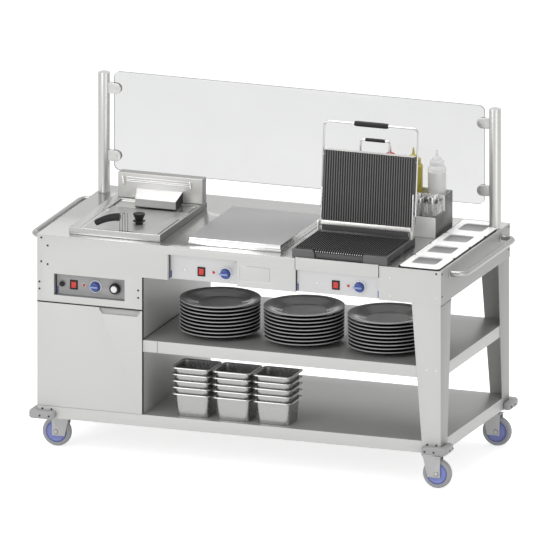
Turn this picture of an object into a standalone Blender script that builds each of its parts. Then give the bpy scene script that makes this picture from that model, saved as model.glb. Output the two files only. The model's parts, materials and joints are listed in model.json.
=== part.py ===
"""Mobile snack trolley: cupboard, shelves, drop-in fryer, hot plate and contact grill.

Units are metres, +Z is up and the trolley stands on the ground at Z = 0, centred on
X and Y. The operator's side, with the controls, faces -Y.
"""
import math

import bmesh
import bpy
from mathutils import Matrix, Vector

# Overall body
LENGTH = 1.775
DEPTH = 0.833
WORK_HEIGHT = 0.940
APRON_HEIGHT = 0.145
SHEET = 0.002
TOUCH_GAP = 0.0003
RUN_GAP = 0.0008
OVERRUN = 0.010

# Shelves and legs
SHELF_CLEARANCE = 0.157
BOTTOM_LIP = 0.051
MID_SHELF_SHARE = 0.435792
MID_LIP = 0.050
LEG_SHEET = 0.003
LEG_FOOT_WIDTH = 0.080
LEG_TOP_WIDTH = 0.1275
CORNER_PLATE = 0.150
CORNER_PLATE_SHEET = 0.004

# Cupboard
CUPBOARD_LENGTH = 0.4615
DOOR_DROP = 0.289
DOOR_THICKNESS = 0.0185
DOOR_GRIP_LENGTH = 0.178
DOOR_GRIP_INSET = 0.010
DOOR_GRIP_HEIGHT = 0.026
DOOR_GRIP_DEPTH = 0.012
DOOR_SLIT = 0.002

# Casters
WHEEL_RADIUS = 0.0625
WHEEL_WIDTH = 0.030
WHEEL_BORE = 0.0065
AXLE_RADIUS = 0.006
CASTER_TRAIL = 0.035
FORK_SHEET = 0.003
FORK_HEAD_RADIUS = 0.034
FORK_CROWN = 0.012
FORK_TOP_LENGTH = 0.084
FORK_TOP_TRAIL = 0.015
FORK_FOOT_LENGTH = 0.055
FORK_FOOT_TRAIL = 0.0234
FORK_BELOW_AXLE = 0.016
WHEEL_SIDE_GAP = 0.002
TYRE_SHOULDER = 0.006
HUB_RADIUS = 0.044
HUB_DISH = 0.004
RIGHT_CASTER_INSET = 0.0705
RIGHT_CASTER_FROM_EDGE = 0.0565
LEFT_CASTER_INSET = 0.0675
LEFT_CASTER_FROM_EDGE = 0.1555

# Corner bumpers
BUMPER_REACH = 0.081
BUMPER_PROUD = 0.030
BUMPER_HEIGHT = 0.035
BUMPER_CORNER = 0.020

# Push handles at both ends
HANDLE_RADIUS = 0.0125
HANDLE_STANDOFF = 0.062
HANDLE_HALF_SPAN = 0.308
HANDLE_BEND = 0.045
HANDLE_DROP = 0.035

# Screen
POST_RADIUS = 0.025
POST_WALL = 0.002
POST_HEIGHT = 0.511
POST_FROM_END = 0.0285
POST_FROM_REAR = 0.1015
POST_EDGE = 0.0015
GLASS_THICKNESS = 0.008
GLASS_HALF_LENGTH = 0.814
GLASS_BOTTOM = 0.097
GLASS_HEIGHT = 0.422
GLASS_CORNER = 0.026
CLAMP_HEIGHT = 0.045
CLAMP_LENGTH = 0.052
CLAMP_THICKNESS = 0.022
CLAMP_LOW = 0.158
CLAMP_HIGH = 0.446

# Control panels
PANEL_RECESS = 0.030
GRILL_PANEL_RECESS = 0.015
FRYER_PANEL_LEFT = -0.813
FRYER_PANEL_LENGTH = 0.310
FRYER_PANEL_DROP = 0.254
FRYER_PANEL_HEIGHT = 0.091
HOT_PANEL_LEFT = -0.314
HOT_PANEL_LENGTH = 0.305
HOT_PANEL_DROP = 0.036
GRILL_PANEL_LEFT = 0.248
GRILL_PANEL_LENGTH = 0.365
GRILL_PANEL_DROP = 0.050
GRILL_HOOD_PROUD = 0.003
GRILL_HOOD_RISE = 0.0045
SWITCH_WIDTH = 0.022
SWITCH_HEIGHT = 0.028
SWITCH_DEPTH = 0.014
SWITCH_PROUD = 0.006
SWITCH_GAP = 0.0006
BEZEL_RIM = 0.004
BEZEL_PROUD = 0.003
DIAL_RADIUS = 0.023
DIAL_SKIRT = 0.003
KNOB_RADIUS = 0.018
KNOB_LENGTH = 0.017
KNOB_SHAFT_RADIUS = 0.004
KNOB_SHAFT_LENGTH = 0.012
POINTER_WIDTH = 0.007
POINTER_PROUD = 0.003
RESET_RADIUS = 0.0105
RESET_LENGTH = 0.011
DRAIN_RADIUS = 0.0225
DRAIN_LENGTH = 0.018
DRAIN_CAP_RADIUS = 0.0165
DRAIN_CAP_LENGTH = 0.004
FRYER_CONTROL_RISE = 0.043
HOT_CONTROL_RISE = 0.041
GRILL_CONTROL_RISE = 0.042
FRYER_RESET_X = -0.7865
FRYER_SWITCH_X = -0.736
FRYER_KNOB_X = -0.6415
FRYER_DRAIN_X = -0.5545
HOT_SWITCH_X = -0.1757
HOT_KNOB_X = -0.0703
GRILL_SWITCH_X = 0.4205
GRILL_KNOB_X = 0.5238

# Grease drawer
DRAWER_LEFT = 0.0044
DRAWER_LENGTH = 0.1296
DRAWER_DROP = 0.119
DRAWER_HEIGHT = 0.063
DRAWER_BOX_DEPTH = 0.210
DRAWER_BOX_INSET = 0.006
DRAWER_BOX_HEIGHT = 0.045

# Drop-in fryer
UNIT_RISE = 0.030
FRYER_LEFT = -0.764
FRYER_LENGTH = 0.400
FRYER_FRONT = -0.371
FRYER_DEPTH = 0.569
RIM_SIDE = 0.048
RIM_FRONT = 0.009
RIM_RIGHT = 0.012
LID_DEPTH = 0.376
LID_THICKNESS = 0.006
LID_LEDGE = 0.010
LID_FRONT_LEDGE = 0.004
LID_SINK = 0.009
TANK_DEPTH = 0.160
TANK_REAR_LEDGE = 0.065
LID_KNOB_X = -0.512
LID_KNOB_Y = -0.216
SPOOL_RADIUS = 0.025
SPOOL_NECK = 0.018
SPOOL_HEIGHT = 0.045
SPOOL_FLANGE = 0.006
HEAD_LEFT = -0.738
HEAD_LENGTH = 0.372
HEAD_DEPTH = 0.048
HEAD_HEIGHT = 0.107
HEAD_FROM_REAR = 0.002
GUARD_LEFT = -0.636
GUARD_LENGTH = 0.188
GUARD_REACH = 0.126
GUARD_FRONT_HEIGHT = 0.033
GUARD_REAR_HEIGHT = 0.046
ELEMENT_RADIUS = 0.005
ELEMENT_HALF_GAP = 0.060
ELEMENT_LENGTH = 0.390
ELEMENT_BEND = 0.020
ELEMENT_LIFT = 0.014
BASKET_LENGTH = 0.270
BASKET_WIDTH = 0.320
BASKET_HEIGHT = 0.110
BASKET_LIFT = 0.030
BASKET_FRONT_GAP = 0.032
BASKET_WALL = 0.002
WIRE_RADIUS = 0.003
WIRE_LEFT = -0.544
WIRE_SPAN = 0.046
WIRE_TOP = 0.072
WIRE_STEP = 0.014
NOTCH_MARGIN = 0.007
NOTCH_DEPTH = 0.018
GRIP_LENGTH = 0.104
GRIP_RADIUS = 0.010
GRIP_DROOP = 0.034

# Hot plate
HOT_LEFT = -0.243
HOT_LENGTH = 0.403
HOT_FRONT = -0.356
HOT_DEPTH = 0.526
HOT_BASE_RISE = 0.012
HOT_BASE_PROUD = 0.002
PLATE_EDGE = 0.002

# Contact grill
GRILL_LEFT = 0.231
GRILL_LENGTH = 0.419
GRILL_FRONT = -0.413
GRILL_DEPTH = 0.338
GRILL_RISE = 0.038
GRILL_SLOT_START = 0.037
GRILL_SLOT_LENGTH = 0.120
GRILL_SLOT_PITCH = 0.160
GRILL_SLOT_HEIGHT = 0.005
GRILL_SLOT_DEPTH = 0.003
GRILL_SLOT_LIFT = 0.004
GRILL_SLOT_COUNT = 2
LOWER_PLATE_RISE = 0.008
LOWER_PLATE_MARGIN = 0.010
LOWER_PLATE_DEPTH = 0.262
LOWER_PLATE_FRONT = 0.014
CHEEK_WIDTH = 0.012
HINGE_Y = -0.105
HINGE_RISE = 0.070
HINGE_ROD_RADIUS = 0.006
HINGE_ARM = 0.0025
HINGE_FLAP_DROP = 0.012
HINGE_FLAP_THICKNESS = 0.006
CHEEK_ROUND = 0.014
LID_LEAN = math.radians(6.0)
UPPER_LEFT = 0.256
UPPER_LENGTH = 0.389
UPPER_START = 0.020
UPPER_HEIGHT = 0.292
UPPER_PLATE_THICKNESS = 0.012
UPPER_FACE = 0.020
RIB_COUNT = 37
RIB_DEPTH = 0.004
RIB_FLAT_SHARE = 0.32
HOUSING_THICKNESS = 0.050
HOUSING_MARGIN = 0.003
HOUSING_EDGE = 0.006
LOOP_RADIUS = 0.004
LOOP_SIDE_GAP = 0.0045
LOOP_REACH = 0.118
LOOP_BEND = 0.022
LOOP_LEVEL = 0.012
LOOP_START = 0.045
GRILL_GRIP_RADIUS = 0.0115
GRILL_GRIP_LENGTH = 0.145
REAR_LOOP_SPAN = 0.127
REAR_LOOP_RISE = 0.045
REAR_LOOP_STANDOFF = 0.018
DRIP_LEFT = 0.330
DRIP_LENGTH = 0.212
DRIP_HEIGHT = 0.026
DRIP_DEPTH = 0.200
DRIP_SETBACK = 0.008
DRIP_LIFT = 0.004

# Sauce rack and bottles
RACK_RIGHT = 0.684
RACK_LENGTH = 0.310
RACK_FRONT = 0.076
RACK_FRONT_DEPTH = 0.115
RACK_REAR_DEPTH = 0.091
RACK_FRONT_HEIGHT = 0.087
RACK_REAR_HEIGHT = 0.156
RACK_FRONT_FLOOR = 0.020
RACK_REAR_FLOOR = 0.072
RACK_HOLE_RADIUS = 0.006
RACK_HOLE_FROM_TOP = 0.016
BOTTLE_RADIUS = 0.039
BOTTLE_PITCH = 0.103
BOTTLE_FROM_RIGHT = 0.052
BOTTLE_BODY = 0.188
BOTTLE_SHOULDER = 0.008
BOTTLE_NECK_RADIUS = 0.031
BOTTLE_CAP = 0.022
BOTTLE_CROWN_RADIUS = 0.020
BOTTLE_CROWN = 0.014
NOZZLE_BASE_RADIUS = 0.007
NOZZLE_TIP_RADIUS = 0.003
NOZZLE_LENGTH = 0.030

# Ingredient tray
TRAY_LEFT = 0.692
TRAY_LENGTH = 0.184
TRAY_FRONT = -0.408
TRAY_PITCH = 0.187
TRAY_COUNT = 4
TRAY_RISE = 0.009
TRAY_TAIL = 0.032
TRAY_NOTCH_LENGTH = 0.048
TRAY_NOTCH_DEPTH = 0.084
WELL_LENGTH = 0.106
WELL_DEPTH = 0.096
WELL_SINK = 0.005
TRAY_CORNER = 0.012

# Crockery and pans
DISH_RADIUS = 0.169
DISH_COUNT = 9
DISH_PITCH = 0.0156
DISH_EDGE = 0.005
DISH_GROOVE = 0.022
DISH_WELL_RADIUS = 0.092
DISH_WELL_DEPTH = 0.020
DISH_FOOT_RADIUS = 0.098
DISH_FOOT_HEIGHT = 0.022
DISH_FIRST_X = -0.1645
DISH_STACK_PITCH = 0.369
DISH_Y = -0.190
PAN_LENGTH = 0.176
PAN_WIDTH = 0.162
PAN_HEIGHT = 0.100
PAN_COUNT = 5
PAN_PITCH = 0.0278
PAN_CORNER = 0.020
PAN_RIM = 0.0135
PAN_RIM_HEIGHT = 0.009
PAN_TAPER = 0.009
PAN_WALL = 0.003
PAN_FIRST_X = -0.309
PAN_STACK_PITCH = 0.178
PAN_FRONT = -0.400

# Facets of the round shapes
ROUND_STEPS = 20
WHEEL_STEPS = 24
DISH_STEPS = 18
SMALL_STEPS = 12
ARC_STEPS = 3

# Heights and planes worked out from the sizes above
FRONT = -DEPTH / 2
REAR = DEPTH / 2
LEFT = -LENGTH / 2
RIGHT = LENGTH / 2
SHEET_UNDERSIDE = WORK_HEIGHT - SHEET
APRON_BOTTOM = WORK_HEIGHT - APRON_HEIGHT
APRON_TOP = SHEET_UNDERSIDE - TOUCH_GAP
SEAT = WORK_HEIGHT + TOUCH_GAP
BOTTOM_SHELF_TOP = SHELF_CLEARANCE + BOTTOM_LIP
MID_SHELF_TOP = BOTTOM_SHELF_TOP + MID_SHELF_SHARE * (WORK_HEIGHT - BOTTOM_SHELF_TOP)
CUPBOARD_RIGHT = LEFT + CUPBOARD_LENGTH
LEG_OUTER = RIGHT - SHEET - TOUCH_GAP
LEG_FACE = REAR - SHEET - TOUCH_GAP
SHELF_RIGHT = LEG_OUTER - LEG_SHEET - TOUCH_GAP
SHELF_HALF_DEPTH = LEG_FACE - LEG_SHEET - TOUCH_GAP
PANEL_FACE = FRONT + PANEL_RECESS
GRILL_PANEL_FACE = FRONT + GRILL_PANEL_RECESS
POST_X = RIGHT - POST_FROM_END
POST_Y = REAR - POST_FROM_REAR
UNIT_TOP = WORK_HEIGHT + UNIT_RISE
DOOR_TOP = WORK_HEIGHT - DOOR_DROP
FRYER_PANEL_BOTTOM = WORK_HEIGHT - FRYER_PANEL_DROP
HOT_PANEL_TOP = WORK_HEIGHT - HOT_PANEL_DROP
GRILL_PANEL_TOP = WORK_HEIGHT - GRILL_PANEL_DROP
FRYER_CONTROL_Z = FRYER_PANEL_BOTTOM + FRYER_CONTROL_RISE
HOT_CONTROL_Z = APRON_BOTTOM + HOT_CONTROL_RISE
GRILL_CONTROL_Z = APRON_BOTTOM + GRILL_CONTROL_RISE
DRAWER_BOTTOM = WORK_HEIGHT - DRAWER_DROP
HINGE_Z = WORK_HEIGHT + HINGE_RISE

MATERIALS = {
    "satin_steel": ((0.62, 0.62, 0.61), 0.38, 0.9),
    "pale_steel": ((0.74, 0.74, 0.73), 0.42, 0.8),
    "dark_steel": ((0.10, 0.10, 0.10), 0.55, 0.5),
    "polished_steel": ((0.80, 0.80, 0.80), 0.15, 1.0),
    "cast_iron": ((0.05, 0.05, 0.05), 0.6, 0.6),
    "black_plastic": ((0.02, 0.02, 0.02), 0.45, 0.0),
    "blue_plastic": ((0.05, 0.10, 0.40), 0.35, 0.0),
    "red_plastic": ((0.60, 0.04, 0.03), 0.3, 0.0),
    "grey_rubber": ((0.35, 0.35, 0.37), 0.7, 0.0),
    "white_plastic": ((0.90, 0.90, 0.88), 0.4, 0.0),
    "yellow_plastic": ((0.60, 0.48, 0.04), 0.4, 0.0),
    "clear_plastic": ((0.78, 0.79, 0.80), 0.25, 0.0),
    "glass": ((0.85, 0.88, 0.88), 0.05, 0.0),
    "slate_ceramic": ((0.09, 0.09, 0.095), 0.35, 0.0),
}


def clear_scene():
    """Remove every object of the start-up scene."""
    for item in list(bpy.data.objects):
        bpy.data.objects.remove(item, do_unlink=True)


def new_collection(name):
    """Return a new collection linked to the scene."""
    collection = bpy.data.collections.new(name)
    bpy.context.scene.collection.children.link(collection)
    return collection


def finish_material(name):
    """Return the Principled material of that name, made at its first use."""
    if name in bpy.data.materials:
        return bpy.data.materials[name]
    colour, roughness, metallic = MATERIALS[name]
    material = bpy.data.materials.new(name)
    material.use_nodes = True
    shader = material.node_tree.nodes["Principled BSDF"]
    shader.inputs["Base Color"].default_value = (*colour, 1.0)
    shader.inputs["Roughness"].default_value = roughness
    shader.inputs["Metallic"].default_value = metallic
    return material


clear_scene()
TROLLEY = new_collection("snack_trolley")
CUTTERS = new_collection("cutters")


def register(obj, finish=None):
    """Put an object in the trolley's collection, or among the cutters without a finish."""
    target = TROLLEY if finish else CUTTERS
    target.objects.link(obj)
    if finish:
        obj.data.materials.append(finish_material(finish))
    else:
        obj.hide_render = True
        obj.display_type = "WIRE"
    return obj


def mesh_object(name, mesh_builder, finish=None):
    """Make a mesh object from a function that fills a bmesh."""
    mesh = bpy.data.meshes.new(name)
    shape = bmesh.new()
    mesh_builder(shape)
    shape.to_mesh(mesh)
    shape.free()
    return register(bpy.data.objects.new(name, mesh), finish)


def box(name, low, high, finish=None):
    """Make an upright box between two corners."""
    low = Vector(low)
    high = Vector(high)
    size = Matrix.Diagonal((*(high - low), 1.0))
    place = Matrix.Translation((low + high) / 2) @ size

    def fill(shape):
        bmesh.ops.create_cube(shape, size=1.0, matrix=place)

    return mesh_object(name, fill, finish)


def cylinder(name, radius, start, end, finish=None, steps=SMALL_STEPS, end_radius=None):
    """Make a cylinder, or a cone, between two points on its axis."""
    start = Vector(start)
    end = Vector(end)
    along = end - start
    turn = along.to_track_quat("Z", "Y").to_matrix().to_4x4()
    place = Matrix.Translation((start + end) / 2) @ turn
    tip = radius if end_radius is None else end_radius

    def fill(shape):
        bmesh.ops.create_cone(shape, cap_ends=True, segments=steps, radius1=radius,
                              radius2=tip, depth=along.length, matrix=place)

    return smooth(mesh_object(name, fill, finish))


def smooth(obj):
    """Shade a round piece smooth, with its sharp edges kept."""
    obj.data.shade_smooth()
    obj.data.set_sharp_from_angle(angle=math.radians(35))
    return obj


def outline_slab(name, points, thickness, matrix, finish=None):
    """Make a flat outline into a slab: the outline lies in the matrix's own XY plane."""
    curve = bpy.data.curves.new(name, "CURVE")
    curve.dimensions = "2D"
    curve.fill_mode = "BOTH"
    curve.extrude = thickness / 2
    spline = curve.splines.new("POLY")
    spline.points.add(len(points) - 1)
    for point, (x, y) in zip(spline.points, points):
        point.co = (x, y, 0.0, 1.0)
    spline.use_cyclic_u = True
    obj = bpy.data.objects.new(name, curve)
    obj.matrix_world = matrix
    return curve_to_mesh(obj, finish)


def curve_to_mesh(obj, finish=None):
    """Turn a curve object into a welded mesh object in the same place."""
    bpy.context.scene.collection.objects.link(obj)
    bpy.context.view_layer.update()
    evaluated = obj.evaluated_get(bpy.context.evaluated_depsgraph_get())
    mesh = bpy.data.meshes.new_from_object(evaluated)
    name = obj.name
    place = obj.matrix_world.copy()
    bpy.data.objects.remove(obj, do_unlink=True)
    shape = bmesh.new()
    shape.from_mesh(mesh)
    bmesh.ops.remove_doubles(shape, verts=shape.verts, dist=TOUCH_GAP / 10)
    shape.to_mesh(mesh)
    shape.free()
    mesh.materials.clear()
    solid = bpy.data.objects.new(name, mesh)
    solid.matrix_world = place
    return register(solid, finish)


def tube(name, points, radius, finish=None, sides=2, swell=None):
    """Make a round bar along points; swell gives each point's share of the radius."""
    curve = bpy.data.curves.new(name, "CURVE")
    curve.dimensions = "3D"
    curve.bevel_depth = radius
    curve.bevel_resolution = sides
    curve.use_fill_caps = True
    spline = curve.splines.new("POLY")
    spline.points.add(len(points) - 1)
    for index, (x, y, z) in enumerate(points):
        spline.points[index].co = (x, y, z, 1.0)
        if swell:
            spline.points[index].radius = swell[index]
    return smooth(curve_to_mesh(bpy.data.objects.new(name, curve), finish))


def turned(name, profile, place, finish=None, steps=ROUND_STEPS, ring=False):
    """Turn (radius, height) points about the place's Z axis; a ring's profile is closed."""
    mesh = bpy.data.meshes.new(name)
    points = [(radius, 0.0, height) for radius, height in profile]
    edges = [(index, index + 1) for index in range(len(points) - 1)]
    if ring:
        edges.append((len(points) - 1, 0))
    mesh.from_pydata(points, edges, [])
    obj = register(bpy.data.objects.new(name, mesh), finish)
    obj.matrix_world = place
    screw = obj.modifiers.new("turning", "SCREW")
    screw.steps = steps
    screw.render_steps = steps
    screw.use_merge_vertices = True
    screw.merge_threshold = TOUCH_GAP / 10
    screw.use_smooth_shade = True
    return obj


def rounded_rectangle(half_x, half_y, radius, steps=ARC_STEPS):
    """Return the points of a rectangle with round corners, centred on its own origin."""
    points = []
    for quarter in range(4):
        angle = quarter * math.pi / 2
        sign_x = 1 if quarter in (0, 3) else -1
        sign_y = 1 if quarter in (0, 1) else -1
        for step in range(steps + 1):
            turn = angle + step / steps * math.pi / 2
            points.append((sign_x * (half_x - radius) + radius * math.cos(turn),
                           sign_y * (half_y - radius) + radius * math.sin(turn)))
    return points


def lofted(name, sections, centre, finish=None):
    """Skin a stack of rounded rectangles: (half_x, half_y, radius, z) from base to mouth."""

    def fill(shape):
        rings = []
        for half_x, half_y, radius, z in sections:
            ring = [shape.verts.new((centre[0] + x, centre[1] + y, z))
                    for x, y in rounded_rectangle(half_x, half_y, radius)]
            rings.append(ring)
        for lower, upper in zip(rings, rings[1:]):
            for index in range(len(lower)):
                after = (index + 1) % len(lower)
                shape.faces.new((lower[index], lower[after], upper[after], upper[index]))
        shape.faces.new(list(reversed(rings[0])))
        shape.faces.new(rings[-1])

    return mesh_object(name, fill, finish)


def combine(obj, tool, operation):
    """Add an exact Boolean of another object to an object."""
    step = obj.modifiers.new(operation.lower(), "BOOLEAN")
    step.operation = operation
    step.solver = "EXACT"
    step.object = tool
    return obj


def join(obj, *tools):
    """Unite the objects into one solid."""
    for tool in tools:
        combine(obj, tool, "UNION")
    return obj


def cut(obj, *tools):
    """Cut the tools out of the object."""
    for tool in tools:
        combine(obj, tool, "DIFFERENCE")
    return obj


def round_edges(obj, width, segments=1):
    """Bevel the sharp edges of an object."""
    bevel = obj.modifiers.new("edges", "BEVEL")
    bevel.width = width
    bevel.segments = segments
    bevel.limit_method = "ANGLE"
    return obj


def pivot(name, place):
    """Make an empty on a joint's axis."""
    empty = bpy.data.objects.new(name, None)
    TROLLEY.objects.link(empty)
    empty.location = place
    bpy.context.view_layer.update()
    return empty


def hang(parent, *children):
    """Parent objects to an empty and leave them where they are."""
    bpy.context.view_layer.update()
    for child in children:
        child.parent = parent
        child.matrix_parent_inverse = parent.matrix_world.inverted()


def arc_path(corners, bend):
    """Return the points of a path through corners, each rounded with one bend radius."""
    corners = [Vector(corner) for corner in corners]
    points = [corners[0]]
    for before, corner, after in zip(corners, corners[1:], corners[2:]):
        into = (before - corner).normalized()
        out = (after - corner).normalized()
        half = into.angle(out) / 2
        reach = bend / math.tan(half)
        centre = corner + (into + out).normalized() * (bend / math.sin(half))
        start = corner + into * reach - centre
        end = corner + out * reach - centre
        sweep = start.angle(end)
        for step in range(ARC_STEPS + 1):
            share = step / ARC_STEPS
            blend = (math.sin((1 - share) * sweep) * start + math.sin(share * sweep) * end)
            points.append(centre + blend / math.sin(sweep))
    points.append(corners[-1])
    return [tuple(point) for point in points]


def build_worktop():
    """Build the worktop sheet with its folded rear skirt and the cut-outs of the units."""
    top = box("worktop", (LEFT, FRONT, SHEET_UNDERSIDE), (RIGHT, REAR, WORK_HEIGHT),
              "satin_steel")
    skirt = box("worktop_skirt", (LEFT, REAR - SHEET, APRON_BOTTOM),
                (RIGHT, REAR, SHEET_UNDERSIDE + SHEET / 2))
    fryer_hole = box("worktop_fryer_hole",
                     (TANK_LEFT - 2 * RUN_GAP, TANK_FRONT - 2 * RUN_GAP, APRON_BOTTOM),
                     (TANK_RIGHT + 2 * RUN_GAP, TANK_REAR + 2 * RUN_GAP, WORK_HEIGHT + OVERRUN))
    join(top, skirt)
    cut(top, fryer_hole)


def build_apron():
    """Build the front apron, with both end returns and the front above the door."""
    inner_rear = REAR - SHEET - TOUCH_GAP
    apron = box("apron", (LEFT, FRONT, APRON_BOTTOM), (RIGHT, FRONT + SHEET, APRON_TOP),
                "pale_steel")
    right_end = box("apron_right_end", (RIGHT - SHEET, FRONT + SHEET / 2, APRON_BOTTOM),
                    (RIGHT, inner_rear, APRON_TOP))
    left_end = box("apron_left_end", (LEFT, FRONT + SHEET / 2, APRON_BOTTOM),
                   (LEFT + SHEET, inner_rear, APRON_TOP))
    over_door = box("apron_over_door", (LEFT, FRONT, DOOR_TOP + DOOR_SLIT),
                    (CUPBOARD_RIGHT, FRONT + SHEET, APRON_BOTTOM + OVERRUN))
    join(apron, right_end, left_end, over_door)
    cuts = [
        (FRYER_PANEL_LEFT, FRYER_PANEL_LENGTH, FRYER_PANEL_BOTTOM,
         FRYER_PANEL_BOTTOM + FRYER_PANEL_HEIGHT),
        (HOT_PANEL_LEFT, HOT_PANEL_LENGTH, APRON_BOTTOM - OVERRUN, HOT_PANEL_TOP),
        (GRILL_PANEL_LEFT, GRILL_PANEL_LENGTH, APRON_BOTTOM - OVERRUN, GRILL_PANEL_TOP),
        (DRAWER_LEFT - RUN_GAP, DRAWER_LENGTH + 2 * RUN_GAP, DRAWER_BOTTOM - RUN_GAP,
         DRAWER_BOTTOM + DRAWER_HEIGHT + RUN_GAP),
    ]
    for index, (left, length, bottom, top) in enumerate(cuts):
        cut(apron, box(f"apron_window_{index}", (left, FRONT - OVERRUN, bottom),
                       (left + length, FRONT + SHEET + OVERRUN, top)))


def leg_outline(height):
    """Return a leg flange's outline: foot at the bottom, full width under the apron."""
    taper_top = APRON_BOTTOM - SHELF_CLEARANCE
    return [(0.0, 0.0), (-LEG_FOOT_WIDTH, 0.0), (-LEG_TOP_WIDTH, taper_top),
            (-LEG_TOP_WIDTH, height), (0.0, height)]


def build_leg(name, side):
    """Build one tapered angle leg; side is -1 at the front and +1 at the rear."""
    height = APRON_TOP - SHELF_CLEARANCE
    face_centre = side * (LEG_FACE - LEG_SHEET / 2)
    face_place = Matrix.Translation((LEG_OUTER, face_centre, SHELF_CLEARANCE))
    face_place = face_place @ Matrix.Rotation(math.radians(90), 4, "X")
    leg = outline_slab(name, leg_outline(height), LEG_SHEET, face_place, "pale_steel")
    points = [(-side * x, z) for x, z in leg_outline(height)]
    points = [(-x, z) for x, z in points]
    flange_place = Matrix.Translation((LEG_OUTER - LEG_SHEET / 2, side * LEG_FACE,
                                       SHELF_CLEARANCE))
    flange_place = flange_place @ Matrix(((0, 0, 1, 0), (1, 0, 0, 0), (0, 1, 0, 0), (0, 0, 0, 1)))
    flange = outline_slab(name + "_flange", points, LEG_SHEET, flange_place)
    join(leg, flange)


def shelf_tray(name, left, top, lip):
    """Build a shelf with lips folded down all round."""
    shelf = box(name, (left, -SHELF_HALF_DEPTH, top - lip), (SHELF_RIGHT, SHELF_HALF_DEPTH, top),
                "satin_steel")
    hollow = box(name + "_hollow", (left + SHEET, -SHELF_HALF_DEPTH + SHEET, top - lip - OVERRUN),
                 (SHELF_RIGHT - SHEET, SHELF_HALF_DEPTH - SHEET, top - SHEET))
    cut(shelf, hollow)
    return shelf


def caster_places():
    """Return name, swivel X, swivel Y and trail direction of each caster."""
    right_x = RIGHT - RIGHT_CASTER_INSET
    left_x = LEFT + LEFT_CASTER_INSET
    right_y = REAR - RIGHT_CASTER_FROM_EDGE
    left_y = REAR - LEFT_CASTER_FROM_EDGE
    return [("front_right", right_x, -right_y, 1), ("rear_right", right_x, right_y, 1),
            ("front_left", left_x, -left_y, -1), ("rear_left", left_x, left_y, -1)]


def build_shelves():
    """Build the middle shelf and the bottom shelf with its caster plates."""
    shelf_tray("mid_shelf", CUPBOARD_RIGHT + TOUCH_GAP, MID_SHELF_TOP, MID_LIP)
    bottom = shelf_tray("bottom_shelf", LEFT, BOTTOM_SHELF_TOP, BOTTOM_LIP)
    half = CORNER_PLATE / 2
    for name, x, y, _ in caster_places():
        side_x = math.copysign(1, x)
        side_y = math.copysign(1, y)
        edge_x = SHELF_RIGHT - SHEET / 2 if side_x > 0 else LEFT + SHEET / 2
        edge_y = side_y * (SHELF_HALF_DEPTH - SHEET / 2)
        far_x = x - side_x * half
        far_y = y - side_y * half
        plate = box(f"caster_plate_{name}",
                    (min(edge_x, far_x), min(edge_y, far_y), SHELF_CLEARANCE),
                    (max(edge_x, far_x), max(edge_y, far_y),
                     SHELF_CLEARANCE + CORNER_PLATE_SHEET))
        join(bottom, plate)


def build_cupboard():
    """Build the cupboard's side and rear walls and its door."""
    wall_front = FRONT + DOOR_THICKNESS + TOUCH_GAP
    wall_rear = REAR - SHEET - TOUCH_GAP
    floor = BOTTOM_SHELF_TOP + TOUCH_GAP
    ceiling = APRON_BOTTOM - TOUCH_GAP
    shell = box("cupboard_shell", (LEFT, wall_front, floor),
                (CUPBOARD_RIGHT, wall_rear, ceiling), "satin_steel")
    room = box("cupboard_room", (LEFT + SHEET, wall_front - OVERRUN, floor - OVERRUN),
               (CUPBOARD_RIGHT - SHEET, wall_rear - SHEET, ceiling + OVERRUN))
    cut(shell, room)
    door = box("cupboard_door", (LEFT, FRONT, BOTTOM_SHELF_TOP + DOOR_SLIT),
               (CUPBOARD_RIGHT, FRONT + DOOR_THICKNESS, DOOR_TOP), "pale_steel")
    pan = box("door_pan", (LEFT + SHEET, FRONT + SHEET, BOTTOM_SHELF_TOP + DOOR_SLIT + SHEET),
              (CUPBOARD_RIGHT - SHEET, FRONT + DOOR_THICKNESS + OVERRUN, DOOR_TOP - SHEET))
    grip_right = CUPBOARD_RIGHT - DOOR_GRIP_INSET
    grip_left = grip_right - DOOR_GRIP_LENGTH
    slope = DOOR_GRIP_HEIGHT / 2
    grip_points = [(grip_left, DOOR_TOP + OVERRUN), (grip_left, DOOR_TOP - DOOR_GRIP_HEIGHT / 3),
                   (grip_left + slope, DOOR_TOP - DOOR_GRIP_HEIGHT),
                   (grip_right - slope, DOOR_TOP - DOOR_GRIP_HEIGHT),
                   (grip_right, DOOR_TOP - DOOR_GRIP_HEIGHT / 3), (grip_right, DOOR_TOP + OVERRUN)]
    grip_place = Matrix.Translation((0.0, FRONT, 0.0)) @ Matrix.Rotation(math.radians(90), 4, "X")
    grip = outline_slab("door_grip_cut", grip_points, 2 * DOOR_GRIP_DEPTH, grip_place)
    block = box("door_grip_block",
                (grip_left - SHEET, FRONT + SHEET / 2, DOOR_TOP - 2 * DOOR_GRIP_HEIGHT),
                (grip_right + SHEET, FRONT + DOOR_GRIP_DEPTH + SHEET, DOOR_TOP - SHEET / 2))
    cut(door, pan)
    join(door, block)
    cut(door, grip)
    hinge = pivot("door_hinge_axis", (LEFT, FRONT + DOOR_THICKNESS, DOOR_TOP / 2))
    hang(hinge, door)


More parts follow.
